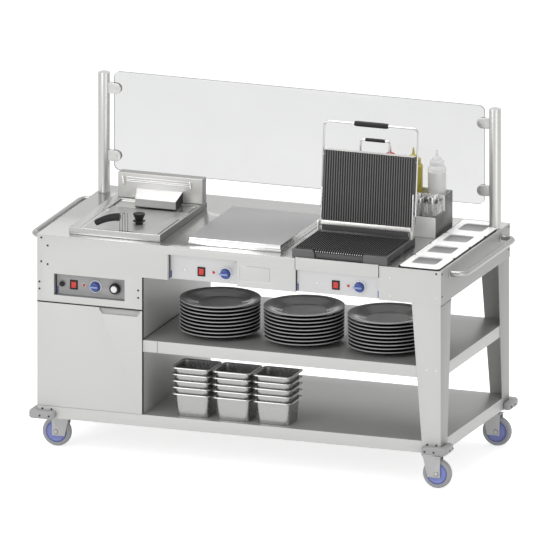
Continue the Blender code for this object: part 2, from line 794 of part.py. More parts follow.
def wheel_profile():
    """Return the wheel's turned profile, from its bore over the tyre and back."""
    half = WHEEL_WIDTH / 2
    return [(WHEEL_BORE, half), (HUB_RADIUS / 3, half), (HUB_RADIUS / 2, half - HUB_DISH),
            (HUB_RADIUS, half - HUB_DISH), (HUB_RADIUS + TYRE_SHOULDER / 2, half),
            (WHEEL_RADIUS - TYRE_SHOULDER, half), (WHEEL_RADIUS - TYRE_SHOULDER / 3, half / 2),
            (WHEEL_RADIUS, 0.0), (WHEEL_RADIUS - TYRE_SHOULDER / 3, -half / 2),
            (WHEEL_RADIUS - TYRE_SHOULDER, -half), (HUB_RADIUS + TYRE_SHOULDER / 2, -half),
            (HUB_RADIUS, HUB_DISH - half), (HUB_RADIUS / 2, HUB_DISH - half),
            (HUB_RADIUS / 3, -half), (WHEEL_BORE, -half)]


def build_caster(name, x, y, trail_sign):
    """Build one swivel caster: fork with its axle, and the wheel."""
    wheel_x = x + trail_sign * CASTER_TRAIL
    top = SHELF_CLEARANCE - TOUCH_GAP
    crown_top = 2 * WHEEL_RADIUS + FORK_CROWN + WHEEL_SIDE_GAP
    inner = WHEEL_WIDTH / 2 + WHEEL_SIDE_GAP
    centre_x = x + trail_sign * FORK_TOP_TRAIL
    foot_x = x + trail_sign * FORK_FOOT_TRAIL
    fork = box(f"caster_fork_{name}",
               (centre_x - FORK_TOP_LENGTH / 2, y - inner - 2 * FORK_SHEET,
                crown_top - FORK_SHEET),
               (centre_x + FORK_TOP_LENGTH / 2, y + inner + 2 * FORK_SHEET, crown_top),
               "polished_steel")
    head = cylinder(f"caster_head_{name}", FORK_HEAD_RADIUS, (x, y, crown_top - FORK_SHEET / 2),
                    (x, y, top), steps=ROUND_STEPS)
    join(fork, head)
    crown_half = FORK_TOP_LENGTH / 2 - FORK_SHEET
    outline = [(centre_x - crown_half, crown_top - FORK_SHEET / 2),
               (foot_x - FORK_FOOT_LENGTH / 2, WHEEL_RADIUS - FORK_BELOW_AXLE),
               (foot_x + FORK_FOOT_LENGTH / 2, WHEEL_RADIUS - FORK_BELOW_AXLE),
               (centre_x + crown_half, crown_top - FORK_SHEET / 2)]
    for side in (-1, 1):
        place = Matrix.Translation((0.0, y + side * (inner + FORK_SHEET / 2), 0.0))
        place = place @ Matrix.Rotation(math.radians(90), 4, "X")
        join(fork, outline_slab(f"caster_cheek_{name}_{side}", outline, FORK_SHEET, place))
    axle = cylinder(f"caster_axle_{name}", AXLE_RADIUS,
                    (wheel_x, y - inner - 2 * FORK_SHEET, WHEEL_RADIUS),
                    (wheel_x, y + inner + 2 * FORK_SHEET, WHEEL_RADIUS))
    join(fork, axle)
    place = Matrix.Translation((wheel_x, y, WHEEL_RADIUS))
    place = place @ Matrix.Rotation(math.radians(90), 4, "X")
    wheel = turned(f"caster_wheel_{name}", wheel_profile(), place, "grey_rubber", WHEEL_STEPS,
                   ring=True)
    swivel = pivot(f"swivel_axis_{name}", (x, y, top))
    rolling = pivot(f"rolling_axis_{name}", (wheel_x, y, WHEEL_RADIUS))
    hang(rolling, wheel)
    hang(swivel, fork, rolling)


def build_bumper(name, side_x, side_y):
    """Build one corner bumper that wraps the foot of a corner."""
    wall_x = LEG_OUTER if side_x > 0 else RIGHT
    wall_y = LEG_FACE if side_x > 0 else SHELF_HALF_DEPTH
    outer_x = RIGHT + BUMPER_PROUD
    outer_y = REAR + BUMPER_PROUD
    half_x = (BUMPER_REACH + BUMPER_PROUD) / 2
    centre = Vector((side_x * (outer_x - half_x), side_y * (outer_y - half_x), 0.0))
    low = SHELF_CLEARANCE + TOUCH_GAP
    bumper = outline_slab(name, rounded_rectangle(half_x, half_x, BUMPER_CORNER),
                          BUMPER_HEIGHT,
                          Matrix.Translation(centre + Vector((0, 0, low + BUMPER_HEIGHT / 2))),
                          "grey_rubber")
    inside_x = side_x * (wall_x + TOUCH_GAP)
    inside_y = side_y * (wall_y + TOUCH_GAP)
    far_x = side_x * (RIGHT - BUMPER_REACH - OVERRUN)
    far_y = side_y * (REAR - BUMPER_REACH - OVERRUN)
    pocket = box(name + "_pocket",
                 (min(inside_x, far_x), min(inside_y, far_y), low - OVERRUN),
                 (max(inside_x, far_x), max(inside_y, far_y), low + BUMPER_HEIGHT + OVERRUN))
    cut(bumper, pocket)


def build_handle(name, side):
    """Build a push handle on an end of the body; side is -1 at the left, +1 at the right."""
    wall = side * (RIGHT + TOUCH_GAP)
    outer = side * (RIGHT + HANDLE_STANDOFF)
    z = WORK_HEIGHT - HANDLE_DROP
    corners = [(wall, -HANDLE_HALF_SPAN, z), (outer, -HANDLE_HALF_SPAN, z),
               (outer, HANDLE_HALF_SPAN, z), (wall, HANDLE_HALF_SPAN, z)]
    tube(name, arc_path(corners, HANDLE_BEND), HANDLE_RADIUS, "polished_steel", sides=3)


def build_post(name, side):
    """Build a screen post with its two glass clamps."""
    x = side * POST_X
    top = POST_HEIGHT
    profile = [(0.0, top), (POST_RADIUS - POST_EDGE, top), (POST_RADIUS, top - POST_EDGE),
               (POST_RADIUS, 0.0), (POST_RADIUS - POST_WALL, 0.0),
               (POST_RADIUS - POST_WALL, top - POST_WALL), (0.0, top - POST_WALL)]
    post = turned(name, profile, Matrix.Translation((x, POST_Y, SEAT)), "satin_steel")
    round_half = CLAMP_HEIGHT / 2
    for level in (CLAMP_LOW, CLAMP_HIGH):
        start = POST_RADIUS - POST_WALL / 2
        end = POST_RADIUS + CLAMP_LENGTH
        points = [(-side * start, -round_half)]
        for step in range(2 * ARC_STEPS + 1):
            angle = math.pi * (step / (2 * ARC_STEPS) - 0.5)
            reach = end - round_half + round_half * math.cos(angle)
            points.append((-side * reach, round_half * math.sin(angle)))
        points.append((-side * start, round_half))
        place = Matrix.Translation((x, POST_Y, WORK_HEIGHT + level))
        place = place @ Matrix.Rotation(math.radians(90), 4, "X")
        clamp = outline_slab(f"{name}_clamp_{level}", points, CLAMP_THICKNESS, place)
        join(post, clamp)
        half_slot = GLASS_THICKNESS / 2 + TOUCH_GAP
        glass_edge = side * (GLASS_HALF_LENGTH + TOUCH_GAP)
        inner_end = side * (POST_X - end - OVERRUN)
        slot = box(f"{name}_slot_{level}",
                   (min(glass_edge, inner_end), POST_Y - half_slot,
                    WORK_HEIGHT + level - CLAMP_HEIGHT),
                   (max(glass_edge, inner_end), POST_Y + half_slot,
                    WORK_HEIGHT + level + CLAMP_HEIGHT))
        cut(post, slot)


def build_screen():
    """Build the glass screen and its posts."""
    build_post("screen_post_left", -1)
    build_post("screen_post_right", 1)
    centre_z = WORK_HEIGHT + GLASS_BOTTOM + GLASS_HEIGHT / 2
    place = Matrix.Translation((0.0, POST_Y, centre_z))
    place = place @ Matrix.Rotation(math.radians(90), 4, "X")
    outline_slab("glass_screen",
                 rounded_rectangle(GLASS_HALF_LENGTH, GLASS_HEIGHT / 2, GLASS_CORNER),
                 GLASS_THICKNESS, place, "glass")


def panel_tray(name, left, length, bottom, top, face, closed_below):
    """Build a recessed control panel: a sheet tray behind its window in the apron."""
    front = FRONT + SHEET + TOUCH_GAP
    low = bottom - SHEET if closed_below else bottom
    panel = box(name, (left - SHEET, front, low),
                (left + length + SHEET, face + SHEET, top + SHEET), "satin_steel")
    inner_bottom = bottom if closed_below else bottom - OVERRUN
    inside = box(name + "_inside", (left, front - OVERRUN, inner_bottom),
                 (left + length, face, top))
    return cut(panel, inside)


def add_switch(panel, name, x, z, face):
    """Add a rocker switch to a panel: its bezel and hole in the panel, and the rocker."""
    half_x = SWITCH_WIDTH / 2
    half_z = SWITCH_HEIGHT / 2
    rim = SWITCH_GAP + BEZEL_RIM
    join(panel, box(name + "_bezel", (x - half_x - rim, face - BEZEL_PROUD, z - half_z - rim),
                    (x + half_x + rim, face + SHEET / 2, z + half_z + rim)))
    cut(panel, box(name + "_hole",
                   (x - half_x - SWITCH_GAP, face - OVERRUN, z - half_z - SWITCH_GAP),
                   (x + half_x + SWITCH_GAP, face + OVERRUN, z + half_z + SWITCH_GAP)))
    axis_y = face + SWITCH_DEPTH - SWITCH_PROUD - SWITCH_DEPTH / 2
    section = [(-SWITCH_DEPTH / 2, -half_z * 0.9), (-SWITCH_DEPTH / 2 + SWITCH_PROUD / 2, 0.0),
               (-SWITCH_DEPTH / 2 + SWITCH_PROUD / 4, half_z * 0.9), (0.0, half_z),
               (SWITCH_DEPTH / 2, half_z * 0.5), (SWITCH_DEPTH / 2, -half_z * 0.5), (0.0, -half_z)]
    place = Matrix.Translation((x, axis_y, z))
    place = place @ Matrix(((0, 0, 1, 0), (1, 0, 0, 0), (0, 1, 0, 0), (0, 0, 0, 1)))
    rocker = outline_slab(name, section, SWITCH_WIDTH, place, "red_plastic")
    hang(pivot(name + "_axis", (x, axis_y, z)), rocker)


def add_knob(panel, name, x, z, face):
    """Add a thermostat knob: a skirted dial, a grip with a pointer bar and its shaft."""
    cut(panel, cylinder(name + "_hole", KNOB_SHAFT_RADIUS + RUN_GAP / 2,
                        (x, face - OVERRUN, z), (x, face + OVERRUN, z)))
    skirt_end = TOUCH_GAP + DIAL_SKIRT
    length = TOUCH_GAP + KNOB_LENGTH
    profile = [(0.0, length), (KNOB_RADIUS - POINTER_PROUD / 2, length),
               (KNOB_RADIUS, length - POINTER_PROUD / 2), (KNOB_RADIUS, skirt_end),
               (DIAL_RADIUS, skirt_end - DIAL_SKIRT / 2), (DIAL_RADIUS, TOUCH_GAP),
               (KNOB_SHAFT_RADIUS, TOUCH_GAP), (KNOB_SHAFT_RADIUS, -KNOB_SHAFT_LENGTH),
               (0.0, -KNOB_SHAFT_LENGTH)]
    place = Matrix.Translation((x, face, z)) @ Matrix.Rotation(math.radians(90), 4, "X")
    knob = turned(name, profile, place, "blue_plastic")
    bar = box(name + "_pointer",
              (x - KNOB_RADIUS * 0.9, face - length - POINTER_PROUD, z - POINTER_WIDTH / 2),
              (x + KNOB_RADIUS * 0.9, face - length + POINTER_PROUD, z + POINTER_WIDTH / 2))
    join(knob, bar)
    hang(pivot(name + "_axis", (x, face, z)), knob)


def build_controls():
    """Build the three control panels with their switches, knobs and buttons."""
    fryer = panel_tray("fryer_panel", FRYER_PANEL_LEFT, FRYER_PANEL_LENGTH, FRYER_PANEL_BOTTOM,
                       FRYER_PANEL_BOTTOM + FRYER_PANEL_HEIGHT, PANEL_FACE, True)
    hot = panel_tray("hot_plate_panel", HOT_PANEL_LEFT, HOT_PANEL_LENGTH, APRON_BOTTOM,
                     HOT_PANEL_TOP, PANEL_FACE, False)
    grill = panel_tray("grill_panel", GRILL_PANEL_LEFT, GRILL_PANEL_LENGTH, APRON_BOTTOM,
                       GRILL_PANEL_TOP, GRILL_PANEL_FACE, False)
    add_switch(fryer, "fryer_switch", FRYER_SWITCH_X, FRYER_CONTROL_Z, PANEL_FACE)
    add_switch(hot, "hot_plate_switch", HOT_SWITCH_X, HOT_CONTROL_Z, PANEL_FACE)
    add_switch(grill, "grill_switch", GRILL_SWITCH_X, GRILL_CONTROL_Z, GRILL_PANEL_FACE)
    add_knob(fryer, "fryer_knob", FRYER_KNOB_X, FRYER_CONTROL_Z, PANEL_FACE)
    add_knob(hot, "hot_plate_knob", HOT_KNOB_X, HOT_CONTROL_Z, PANEL_FACE)
    add_knob(grill, "grill_knob", GRILL_KNOB_X, GRILL_CONTROL_Z, GRILL_PANEL_FACE)
    build_reset_button(fryer)
    build_drain_knob(fryer)


def build_reset_button(panel):
    """Build the fryer's reset button, which is pressed through the panel."""
    x = FRYER_RESET_X
    z = FRYER_CONTROL_Z
    cut(panel, cylinder("reset_hole", RESET_RADIUS / 2 + RUN_GAP / 2,
                        (x, PANEL_FACE - OVERRUN, z), (x, PANEL_FACE + OVERRUN, z)))
    profile = [(0.0, RESET_LENGTH), (RESET_RADIUS - SHEET, RESET_LENGTH),
               (RESET_RADIUS, RESET_LENGTH - SHEET), (RESET_RADIUS, RESET_LENGTH / 2),
               (RESET_RADIUS / 2, RESET_LENGTH / 2), (RESET_RADIUS / 2, -RESET_LENGTH),
               (0.0, -RESET_LENGTH)]
    place = Matrix.Translation((x, PANEL_FACE, z)) @ Matrix.Rotation(math.radians(90), 4, "X")
    turned("fryer_reset_button", profile, place, "black_plastic", SMALL_STEPS)


def build_drain_knob(panel):
    """Build the round drain knob with its pale cap."""
    x = FRYER_DRAIN_X
    z = FRYER_CONTROL_Z
    cut(panel, cylinder("drain_hole", KNOB_SHAFT_RADIUS + RUN_GAP / 2,
                        (x, PANEL_FACE - OVERRUN, z), (x, PANEL_FACE + OVERRUN, z)))
    front = TOUCH_GAP + DRAIN_LENGTH
    profile = [(0.0, front + DRAIN_CAP_LENGTH), (DRAIN_CAP_RADIUS, front + DRAIN_CAP_LENGTH),
               (DRAIN_CAP_RADIUS, front), (DRAIN_RADIUS, front - SHEET),
               (DRAIN_RADIUS, TOUCH_GAP), (KNOB_SHAFT_RADIUS, TOUCH_GAP),
               (KNOB_SHAFT_RADIUS, -KNOB_SHAFT_LENGTH), (0.0, -KNOB_SHAFT_LENGTH)]
    place = Matrix.Translation((x, PANEL_FACE, z)) @ Matrix.Rotation(math.radians(90), 4, "X")
    knob = turned("fryer_drain_knob", profile, place, "black_plastic")
    hang(pivot("drain_knob_axis", (x, PANEL_FACE, z)), knob)


def build_grease_drawer():
    """Build the small drawer in the apron that collects grease."""
    front = box("grease_drawer", (DRAWER_LEFT, FRONT, DRAWER_BOTTOM),
                (DRAWER_LEFT + DRAWER_LENGTH, FRONT + SHEET, DRAWER_BOTTOM + DRAWER_HEIGHT),
                "pale_steel")
    left = DRAWER_LEFT + DRAWER_BOX_INSET
    right = DRAWER_LEFT + DRAWER_LENGTH - DRAWER_BOX_INSET
    low = DRAWER_BOTTOM + SHEET
    high = low + DRAWER_BOX_HEIGHT
    body = box("drawer_body", (left, FRONT + SHEET / 2, low),
               (right, FRONT + DRAWER_BOX_DEPTH, high))
    room = box("drawer_room", (left + SHEET, FRONT + 2 * SHEET, low + SHEET),
               (right - SHEET, FRONT + DRAWER_BOX_DEPTH - SHEET, high + OVERRUN))
    join(front, body)
    cut(front, room)


TANK_LEFT = FRYER_LEFT + RIM_SIDE + LID_LEDGE
TANK_RIGHT = FRYER_LEFT + FRYER_LENGTH - RIM_RIGHT - LID_LEDGE
TANK_FRONT = FRYER_FRONT + RIM_FRONT + LID_FRONT_LEDGE
WIRE_Y = TANK_FRONT + SHEET + TOUCH_GAP + WIRE_RADIUS
TANK_REAR = FRYER_FRONT + FRYER_DEPTH - TANK_REAR_LEDGE
TANK_FLOOR = UNIT_TOP - TANK_DEPTH
LID_TOP = UNIT_TOP - LID_SINK + LID_THICKNESS


def build_fryer_tank():
    """Build the fryer's rim frame and tank as one welded piece."""
    rear = FRYER_FRONT + FRYER_DEPTH
    tank = box("fryer_tank", (FRYER_LEFT, FRYER_FRONT, SEAT),
               (FRYER_LEFT + FRYER_LENGTH, rear, UNIT_TOP), "satin_steel")
    under = box("tank_under", (TANK_LEFT, TANK_FRONT, TANK_FLOOR),
                (TANK_RIGHT, TANK_REAR, SEAT + UNIT_RISE / 2))
    room = box("tank_room", (TANK_LEFT + SHEET, TANK_FRONT + SHEET, TANK_FLOOR + SHEET),
               (TANK_RIGHT - SHEET, TANK_REAR - SHEET, UNIT_TOP + OVERRUN))
    lid_seat = box("lid_seat",
                   (TANK_LEFT - LID_LEDGE, FRYER_FRONT + RIM_FRONT,
                    UNIT_TOP - LID_SINK - TOUCH_GAP),
                   (TANK_RIGHT + LID_LEDGE, TANK_REAR - SHEET, UNIT_TOP + OVERRUN))
    join(tank, under)
    cut(tank, room, lid_seat)


def build_fryer_lid():
    """Build the flat lid with its spool-shaped knob and the notch for the basket wires."""
    right = TANK_RIGHT + LID_LEDGE - RUN_GAP
    left = TANK_LEFT - LID_LEDGE + RUN_GAP
    front = FRYER_FRONT + RIM_FRONT + RUN_GAP
    low = UNIT_TOP - LID_SINK
    lid = box("fryer_lid", (left, front, low), (right, front + LID_DEPTH, LID_TOP), "pale_steel")
    notch = box("lid_notch", (WIRE_LEFT - NOTCH_MARGIN, front - OVERRUN, low - OVERRUN),
                (WIRE_LEFT + WIRE_SPAN + NOTCH_MARGIN, front + NOTCH_DEPTH, LID_TOP + OVERRUN))
    top = SPOOL_HEIGHT
    profile = [(0.0, top), (SPOOL_RADIUS * 0.84, top), (SPOOL_RADIUS, top - SPOOL_FLANGE / 2),
               (SPOOL_RADIUS, top - SPOOL_FLANGE), (SPOOL_NECK, top * 0.45),
               (SPOOL_NECK, 2 * SPOOL_FLANGE), (SPOOL_RADIUS, 2 * SPOOL_FLANGE),
               (SPOOL_RADIUS, SPOOL_FLANGE), (SPOOL_NECK, SPOOL_FLANGE), (SPOOL_NECK, -SHEET),
               (0.0, -SHEET)]
    spool = turned("lid_spool", profile, Matrix.Translation((LID_KNOB_X, LID_KNOB_Y, LID_TOP)),
                   steps=ROUND_STEPS)
    cut(lid, notch)
    join(lid, spool)
    return lid


def build_fryer_head():
    """Build the fryer's removable head: control box, sloped guard and heating element."""
    rear = FRYER_FRONT + FRYER_DEPTH - HEAD_FROM_REAR
    front = rear - HEAD_DEPTH
    low = UNIT_TOP + TOUCH_GAP
    head = box("fryer_head", (HEAD_LEFT, front, low), (HEAD_LEFT + HEAD_LENGTH, rear,
                                                       low + HEAD_HEIGHT), "satin_steel")
    tip = front - GUARD_REACH
    points = [(front + SHEET, low), (tip, low), (tip, low + GUARD_FRONT_HEIGHT),
              (front, low + GUARD_REAR_HEIGHT), (front + SHEET, low + GUARD_REAR_HEIGHT)]
    place = Matrix.Translation((GUARD_LEFT + GUARD_LENGTH / 2, 0.0, 0.0))
    place = place @ Matrix(((0, 0, 1, 0), (1, 0, 0, 0), (0, 1, 0, 0), (0, 0, 0, 1)))
    guard = outline_slab("head_guard", points, GUARD_LENGTH, place)
    middle = GUARD_LEFT + GUARD_LENGTH / 2
    depth_y = front - GUARD_REACH / 2
    floor = TANK_FLOOR + SHEET + ELEMENT_LIFT
    far = TANK_REAR - SHEET - ELEMENT_LENGTH - ELEMENT_LIFT
    left = middle - ELEMENT_HALF_GAP
    right = middle + ELEMENT_HALF_GAP
    corners = [(left, depth_y, low + SHEET), (left, depth_y, floor), (left, far, floor),
               (right, far, floor), (right, depth_y, floor), (right, depth_y, low + SHEET)]
    element = tube("heating_element", arc_path(corners, ELEMENT_BEND), ELEMENT_RADIUS)
    join(head, guard, element)


def build_basket():
    """Build the frying basket with its wire loops and the drooping grip."""
    left = TANK_LEFT + BASKET_LIFT
    front = TANK_FRONT + BASKET_FRONT_GAP
    low = TANK_FLOOR + BASKET_LIFT
    high = low + BASKET_HEIGHT
    rear = front + BASKET_WIDTH
    basket = box("fryer_basket", (left, front, low), (left + BASKET_LENGTH, rear, high),
                 "polished_steel")
    room = box("basket_room", (left + BASKET_WALL, front + BASKET_WALL, low + BASKET_WALL),
               (left + BASKET_LENGTH - BASKET_WALL, rear - BASKET_WALL, high + OVERRUN))
    wire_low = high - 2 * WIRE_RADIUS
    wire_high = UNIT_TOP + WIRE_TOP
    hook = front + BASKET_WALL / 2
    loops = []
    for index in range(2):
        inset = index * WIRE_STEP
        x0 = WIRE_LEFT + inset
        x1 = WIRE_LEFT + WIRE_SPAN - inset
        crest = wire_high - inset
        corners = [(x0, hook, wire_low), (x0, WIRE_Y, wire_low), (x0, WIRE_Y, crest),
                   (x1, WIRE_Y, crest), (x1, WIRE_Y, wire_low), (x1, hook, wire_low)]
        loops.append(tube(f"basket_loop_{index}", arc_path(corners, 2 * WIRE_RADIUS), WIRE_RADIUS))
    cut(basket, room)
    join(basket, *loops)
    start = WIRE_LEFT - WIRE_RADIUS / 2
    grip_z = wire_high - 1.2 * GRIP_RADIUS
    points = []
    swell = []
    stations = 7
    for index in range(stations):
        share = index / (stations - 1)
        points.append((start - GRIP_LENGTH * share, WIRE_Y, grip_z - GRIP_DROOP * share ** 2))
        swell.append(1.0 - 0.15 * math.cos(share * math.pi) - 0.1 * share)
    join(basket, tube("basket_grip", points, GRIP_RADIUS, sides=2, swell=swell))
    return basket


def build_fryer():
    """Build the drop-in fryer; the lid rests on the tank and is lifted by the basket."""
    build_fryer_tank()
    build_fryer_head()
    lid = build_fryer_lid()
    basket = build_basket()
    lift = pivot("basket_lift_axis", (LID_KNOB_X, LID_KNOB_Y, UNIT_TOP))
    hang(lift, lid, basket)


def build_hot_plate():
    """Build the flat hot plate on its slightly wider base."""
    middle = SEAT + HOT_BASE_RISE
    plate = box("hot_plate", (HOT_LEFT, HOT_FRONT, SEAT),
                (HOT_LEFT + HOT_LENGTH, HOT_FRONT + HOT_DEPTH, UNIT_TOP), "satin_steel")
    base = box("hot_plate_base", (HOT_LEFT - HOT_BASE_PROUD, HOT_FRONT - HOT_BASE_PROUD, SEAT),
               (HOT_LEFT + HOT_LENGTH + HOT_BASE_PROUD, HOT_FRONT + HOT_DEPTH + HOT_BASE_PROUD,
                middle))
    round_edges(plate, PLATE_EDGE, 2)
    join(plate, base)


def build_grill_base():
    """Build the grill's base: box with side slots, hood over the panel, hinge cheeks."""
    right = GRILL_LEFT + GRILL_LENGTH
    rear = GRILL_FRONT + GRILL_DEPTH
    top = WORK_HEIGHT + GRILL_RISE
    base = box("grill_base", (GRILL_LEFT, GRILL_FRONT, SEAT), (right, rear, top), "dark_steel")
    hood_top = WORK_HEIGHT + GRILL_HOOD_RISE
    hood_front = FRONT - TOUCH_GAP - GRILL_HOOD_PROUD
    hood = box("grill_hood", (GRILL_PANEL_LEFT, hood_front, GRILL_PANEL_TOP),
               (GRILL_PANEL_LEFT + GRILL_PANEL_LENGTH, FRONT - TOUCH_GAP, hood_top))
    hood_bridge = box("grill_hood_bridge", (GRILL_PANEL_LEFT, hood_front, SEAT + TOUCH_GAP),
                      (GRILL_PANEL_LEFT + GRILL_PANEL_LENGTH, GRILL_FRONT + SHEET, hood_top))
    join(base, hood_bridge, hood)
    for index in range(GRILL_SLOT_COUNT):
        start = GRILL_FRONT + GRILL_SLOT_START + index * GRILL_SLOT_PITCH
        slot_low = SEAT + GRILL_SLOT_LIFT
        cut(base, box(f"grill_slot_{index}", (right - GRILL_SLOT_DEPTH, start, slot_low),
                      (right + OVERRUN, start + GRILL_SLOT_LENGTH,
                       slot_low + GRILL_SLOT_HEIGHT)))
    for index, cheek_left in enumerate((GRILL_LEFT, right - CHEEK_WIDTH)):
        cheek = box(f"grill_cheek_{index}",
                    (cheek_left + TOUCH_GAP, HINGE_Y - CHEEK_ROUND, top - 2 * SHEET),
                    (cheek_left + CHEEK_WIDTH - TOUCH_GAP, HINGE_Y + CHEEK_ROUND,
                     HINGE_Z + CHEEK_ROUND))
        join(base, cheek)
    cut(base, cylinder("grill_hinge_bore", HINGE_ROD_RADIUS + RUN_GAP / 2,
                       (GRILL_LEFT - OVERRUN, HINGE_Y, HINGE_Z),
                       (right + OVERRUN, HINGE_Y, HINGE_Z)))
    low = SEAT + DRIP_LIFT - RUN_GAP
    bay = box("drip_bay", (DRIP_LEFT - RUN_GAP, GRILL_FRONT - 2 * OVERRUN, low),
              (DRIP_LEFT + DRIP_LENGTH + RUN_GAP, GRILL_FRONT + DRIP_SETBACK + DRIP_DEPTH + RUN_GAP,
               low + DRIP_HEIGHT + 2 * RUN_GAP))
    cut(base, bay)


def build_drip_tray():
    """Build the grill's drip tray, which slides out at the front."""
    low = SEAT + DRIP_LIFT
    front = GRILL_FRONT + DRIP_SETBACK
    tray = box("grill_drip_tray", (DRIP_LEFT, front, low),
               (DRIP_LEFT + DRIP_LENGTH, front + DRIP_DEPTH, low + DRIP_HEIGHT), "dark_steel")
    room = box("drip_room", (DRIP_LEFT + SHEET, front + 2 * SHEET, low + SHEET),
               (DRIP_LEFT + DRIP_LENGTH - SHEET, front + DRIP_DEPTH - SHEET,
                low + DRIP_HEIGHT + OVERRUN))
    cut(tray, room)


def build_lower_plate():
    """Build the grill's lower cooking plate."""
    top = WORK_HEIGHT + GRILL_RISE
    front = GRILL_FRONT + LOWER_PLATE_FRONT
    low = top + TOUCH_GAP
    plate = box("grill_lower_plate", (GRILL_LEFT + LOWER_PLATE_MARGIN, front, low),
                (GRILL_LEFT + GRILL_LENGTH - LOWER_PLATE_MARGIN, front + LOWER_PLATE_DEPTH,
                 low + LOWER_PLATE_RISE), "cast_iron")
    round_edges(plate, PLATE_EDGE, 1)


def rib_outline():
    """Return the ribbed plate's cross-section, with its ribs towards -Y."""
    pitch = UPPER_LENGTH / RIB_COUNT
    flat = pitch * RIB_FLAT_SHARE
    crest = -UPPER_FACE
    valley = crest + RIB_DEPTH
    back = crest + UPPER_PLATE_THICKNESS
    points = []
    for index in range(RIB_COUNT):
        start = UPPER_LEFT + index * pitch
        slope = (pitch - 2 * flat) / 2
        points.append((start, valley))
        points.append((start + slope, crest))
        points.append((start + slope + flat, crest))
        points.append((start + 2 * slope + flat, valley))
    points.append((UPPER_LEFT + UPPER_LENGTH, valley))
    points.append((UPPER_LEFT + UPPER_LENGTH, back))
    points.append((UPPER_LEFT, back))
    return points


def build_grill_lid():
    """Build the grill's swinging half, upright first, then leaned back on its hinge."""
    axis = pivot("grill_lid_axis", (0.0, HINGE_Y, HINGE_Z))
    standing = set(bpy.data.objects)
    base_z = HINGE_Z + UPPER_START
    middle_z = base_z + UPPER_HEIGHT / 2
    outline_slab("grill_upper_plate", rib_outline(), UPPER_HEIGHT,
                 Matrix.Translation((0.0, HINGE_Y, middle_z)), "cast_iron")
    housing_front = HINGE_Y - UPPER_FACE + UPPER_PLATE_THICKNESS + TOUCH_GAP
    housing_left = UPPER_LEFT - HOUSING_MARGIN
    housing_right = UPPER_LEFT + UPPER_LENGTH + HOUSING_MARGIN
    housing = box("grill_lid_housing", (housing_left, housing_front, base_z),
                  (housing_right, housing_front + HOUSING_THICKNESS, base_z + UPPER_HEIGHT),
                  "satin_steel")
    round_edges(housing, HOUSING_EDGE, 2)
    flap_front = HINGE_Y - UPPER_FACE
    flap = box("lid_hinge_flap",
               (UPPER_LEFT + UPPER_START, flap_front, HINGE_Z - HINGE_FLAP_DROP),
               (UPPER_LEFT + UPPER_LENGTH - UPPER_START, flap_front + HINGE_FLAP_THICKNESS,
                base_z - TOUCH_GAP))
    arm = box("lid_hinge_arm",
              (UPPER_LEFT + 2 * UPPER_START, flap_front + HINGE_FLAP_THICKNESS / 2,
               HINGE_Z - HINGE_ARM),
              (UPPER_LEFT + UPPER_LENGTH - 2 * UPPER_START, HINGE_Y + HINGE_ARM,
               HINGE_Z + HINGE_ARM))
    web = box("lid_hinge_web",
              (UPPER_LEFT + 3 * UPPER_START, HINGE_Y - HINGE_ARM / 2, HINGE_Z),
              (UPPER_LEFT + UPPER_LENGTH - 3 * UPPER_START, HINGE_Y + HINGE_ARM / 2,
               base_z + UPPER_START))
    rod = cylinder("lid_hinge_rod", HINGE_ROD_RADIUS, (GRILL_LEFT - SHEET, HINGE_Y, HINGE_Z),
                   (GRILL_LEFT + GRILL_LENGTH + SHEET, HINGE_Y, HINGE_Z))
    join(housing, web, arm, flap, rod)
    join(housing, build_rear_loop(housing_front, base_z))
    build_lid_loop(housing_front, housing_left, housing_right, base_z)
    grip_z = base_z + UPPER_HEIGHT + LOOP_REACH
    centre = UPPER_LEFT + UPPER_LENGTH / 2
    level = housing_front + LOOP_LEVEL
    grip = cylinder("grill_handle_grip", GRILL_GRIP_RADIUS,
                    (centre - GRILL_GRIP_LENGTH / 2, level, grip_z),
                    (centre + GRILL_GRIP_LENGTH / 2, level, grip_z), "black_plastic")
    cut(grip, cylinder("grip_bore", LOOP_RADIUS + TOUCH_GAP,
                       (centre - GRILL_GRIP_LENGTH, level, grip_z),
                       (centre + GRILL_GRIP_LENGTH, level, grip_z), steps=SMALL_STEPS))
    hang(axis, *(item for item in bpy.data.objects if item not in standing))
    axis.rotation_euler = (-LID_LEAN, 0.0, 0.0)


def build_lid_loop(housing_front, housing_left, housing_right, base_z):
    """Build the chrome loop that runs up both sides of the lid and over its end."""
    level = housing_front + LOOP_LEVEL
    low = base_z + LOOP_START
    high = base_z + UPPER_HEIGHT + LOOP_REACH
    left = housing_left - LOOP_SIDE_GAP - LOOP_RADIUS
    right = housing_right + LOOP_SIDE_GAP + LOOP_RADIUS
    corners = [(left, level, low), (left, level, high), (right, level, high), (right, level, low)]
    loop = tube("grill_handle_loop", arc_path(corners, LOOP_BEND), LOOP_RADIUS, "polished_steel")
    for index, (inner, outer) in enumerate(((housing_left - TOUCH_GAP, left),
                                            (housing_right + TOUCH_GAP, right))):
        for step, height in enumerate((low + LOOP_BEND / 2, base_z + UPPER_HEIGHT - LOOP_BEND)):
            join(loop, cylinder(f"loop_stud_{index}_{step}", LOOP_RADIUS * 0.8,
                                (inner, level, height), (outer, level, height), steps=8))


def build_rear_loop(housing_front, base_z):
    """Build the small carrying loop behind the lid's end."""
    centre = UPPER_LEFT + UPPER_LENGTH / 2
    left = centre - REAR_LOOP_SPAN / 2
    right = centre + REAR_LOOP_SPAN / 2
    back = housing_front + HOUSING_THICKNESS
    out = back + REAR_LOOP_STANDOFF
    low = base_z + UPPER_HEIGHT - 2 * LOOP_BEND
    high = base_z + UPPER_HEIGHT + REAR_LOOP_RISE
    corners = [(left, back - SHEET, low), (left, out, low), (left, out, high),
               (right, out, high), (right, out, low), (right, back - SHEET, low)]
    return tube("lid_rear_loop", arc_path(corners, LOOP_BEND / 2), LOOP_RADIUS)


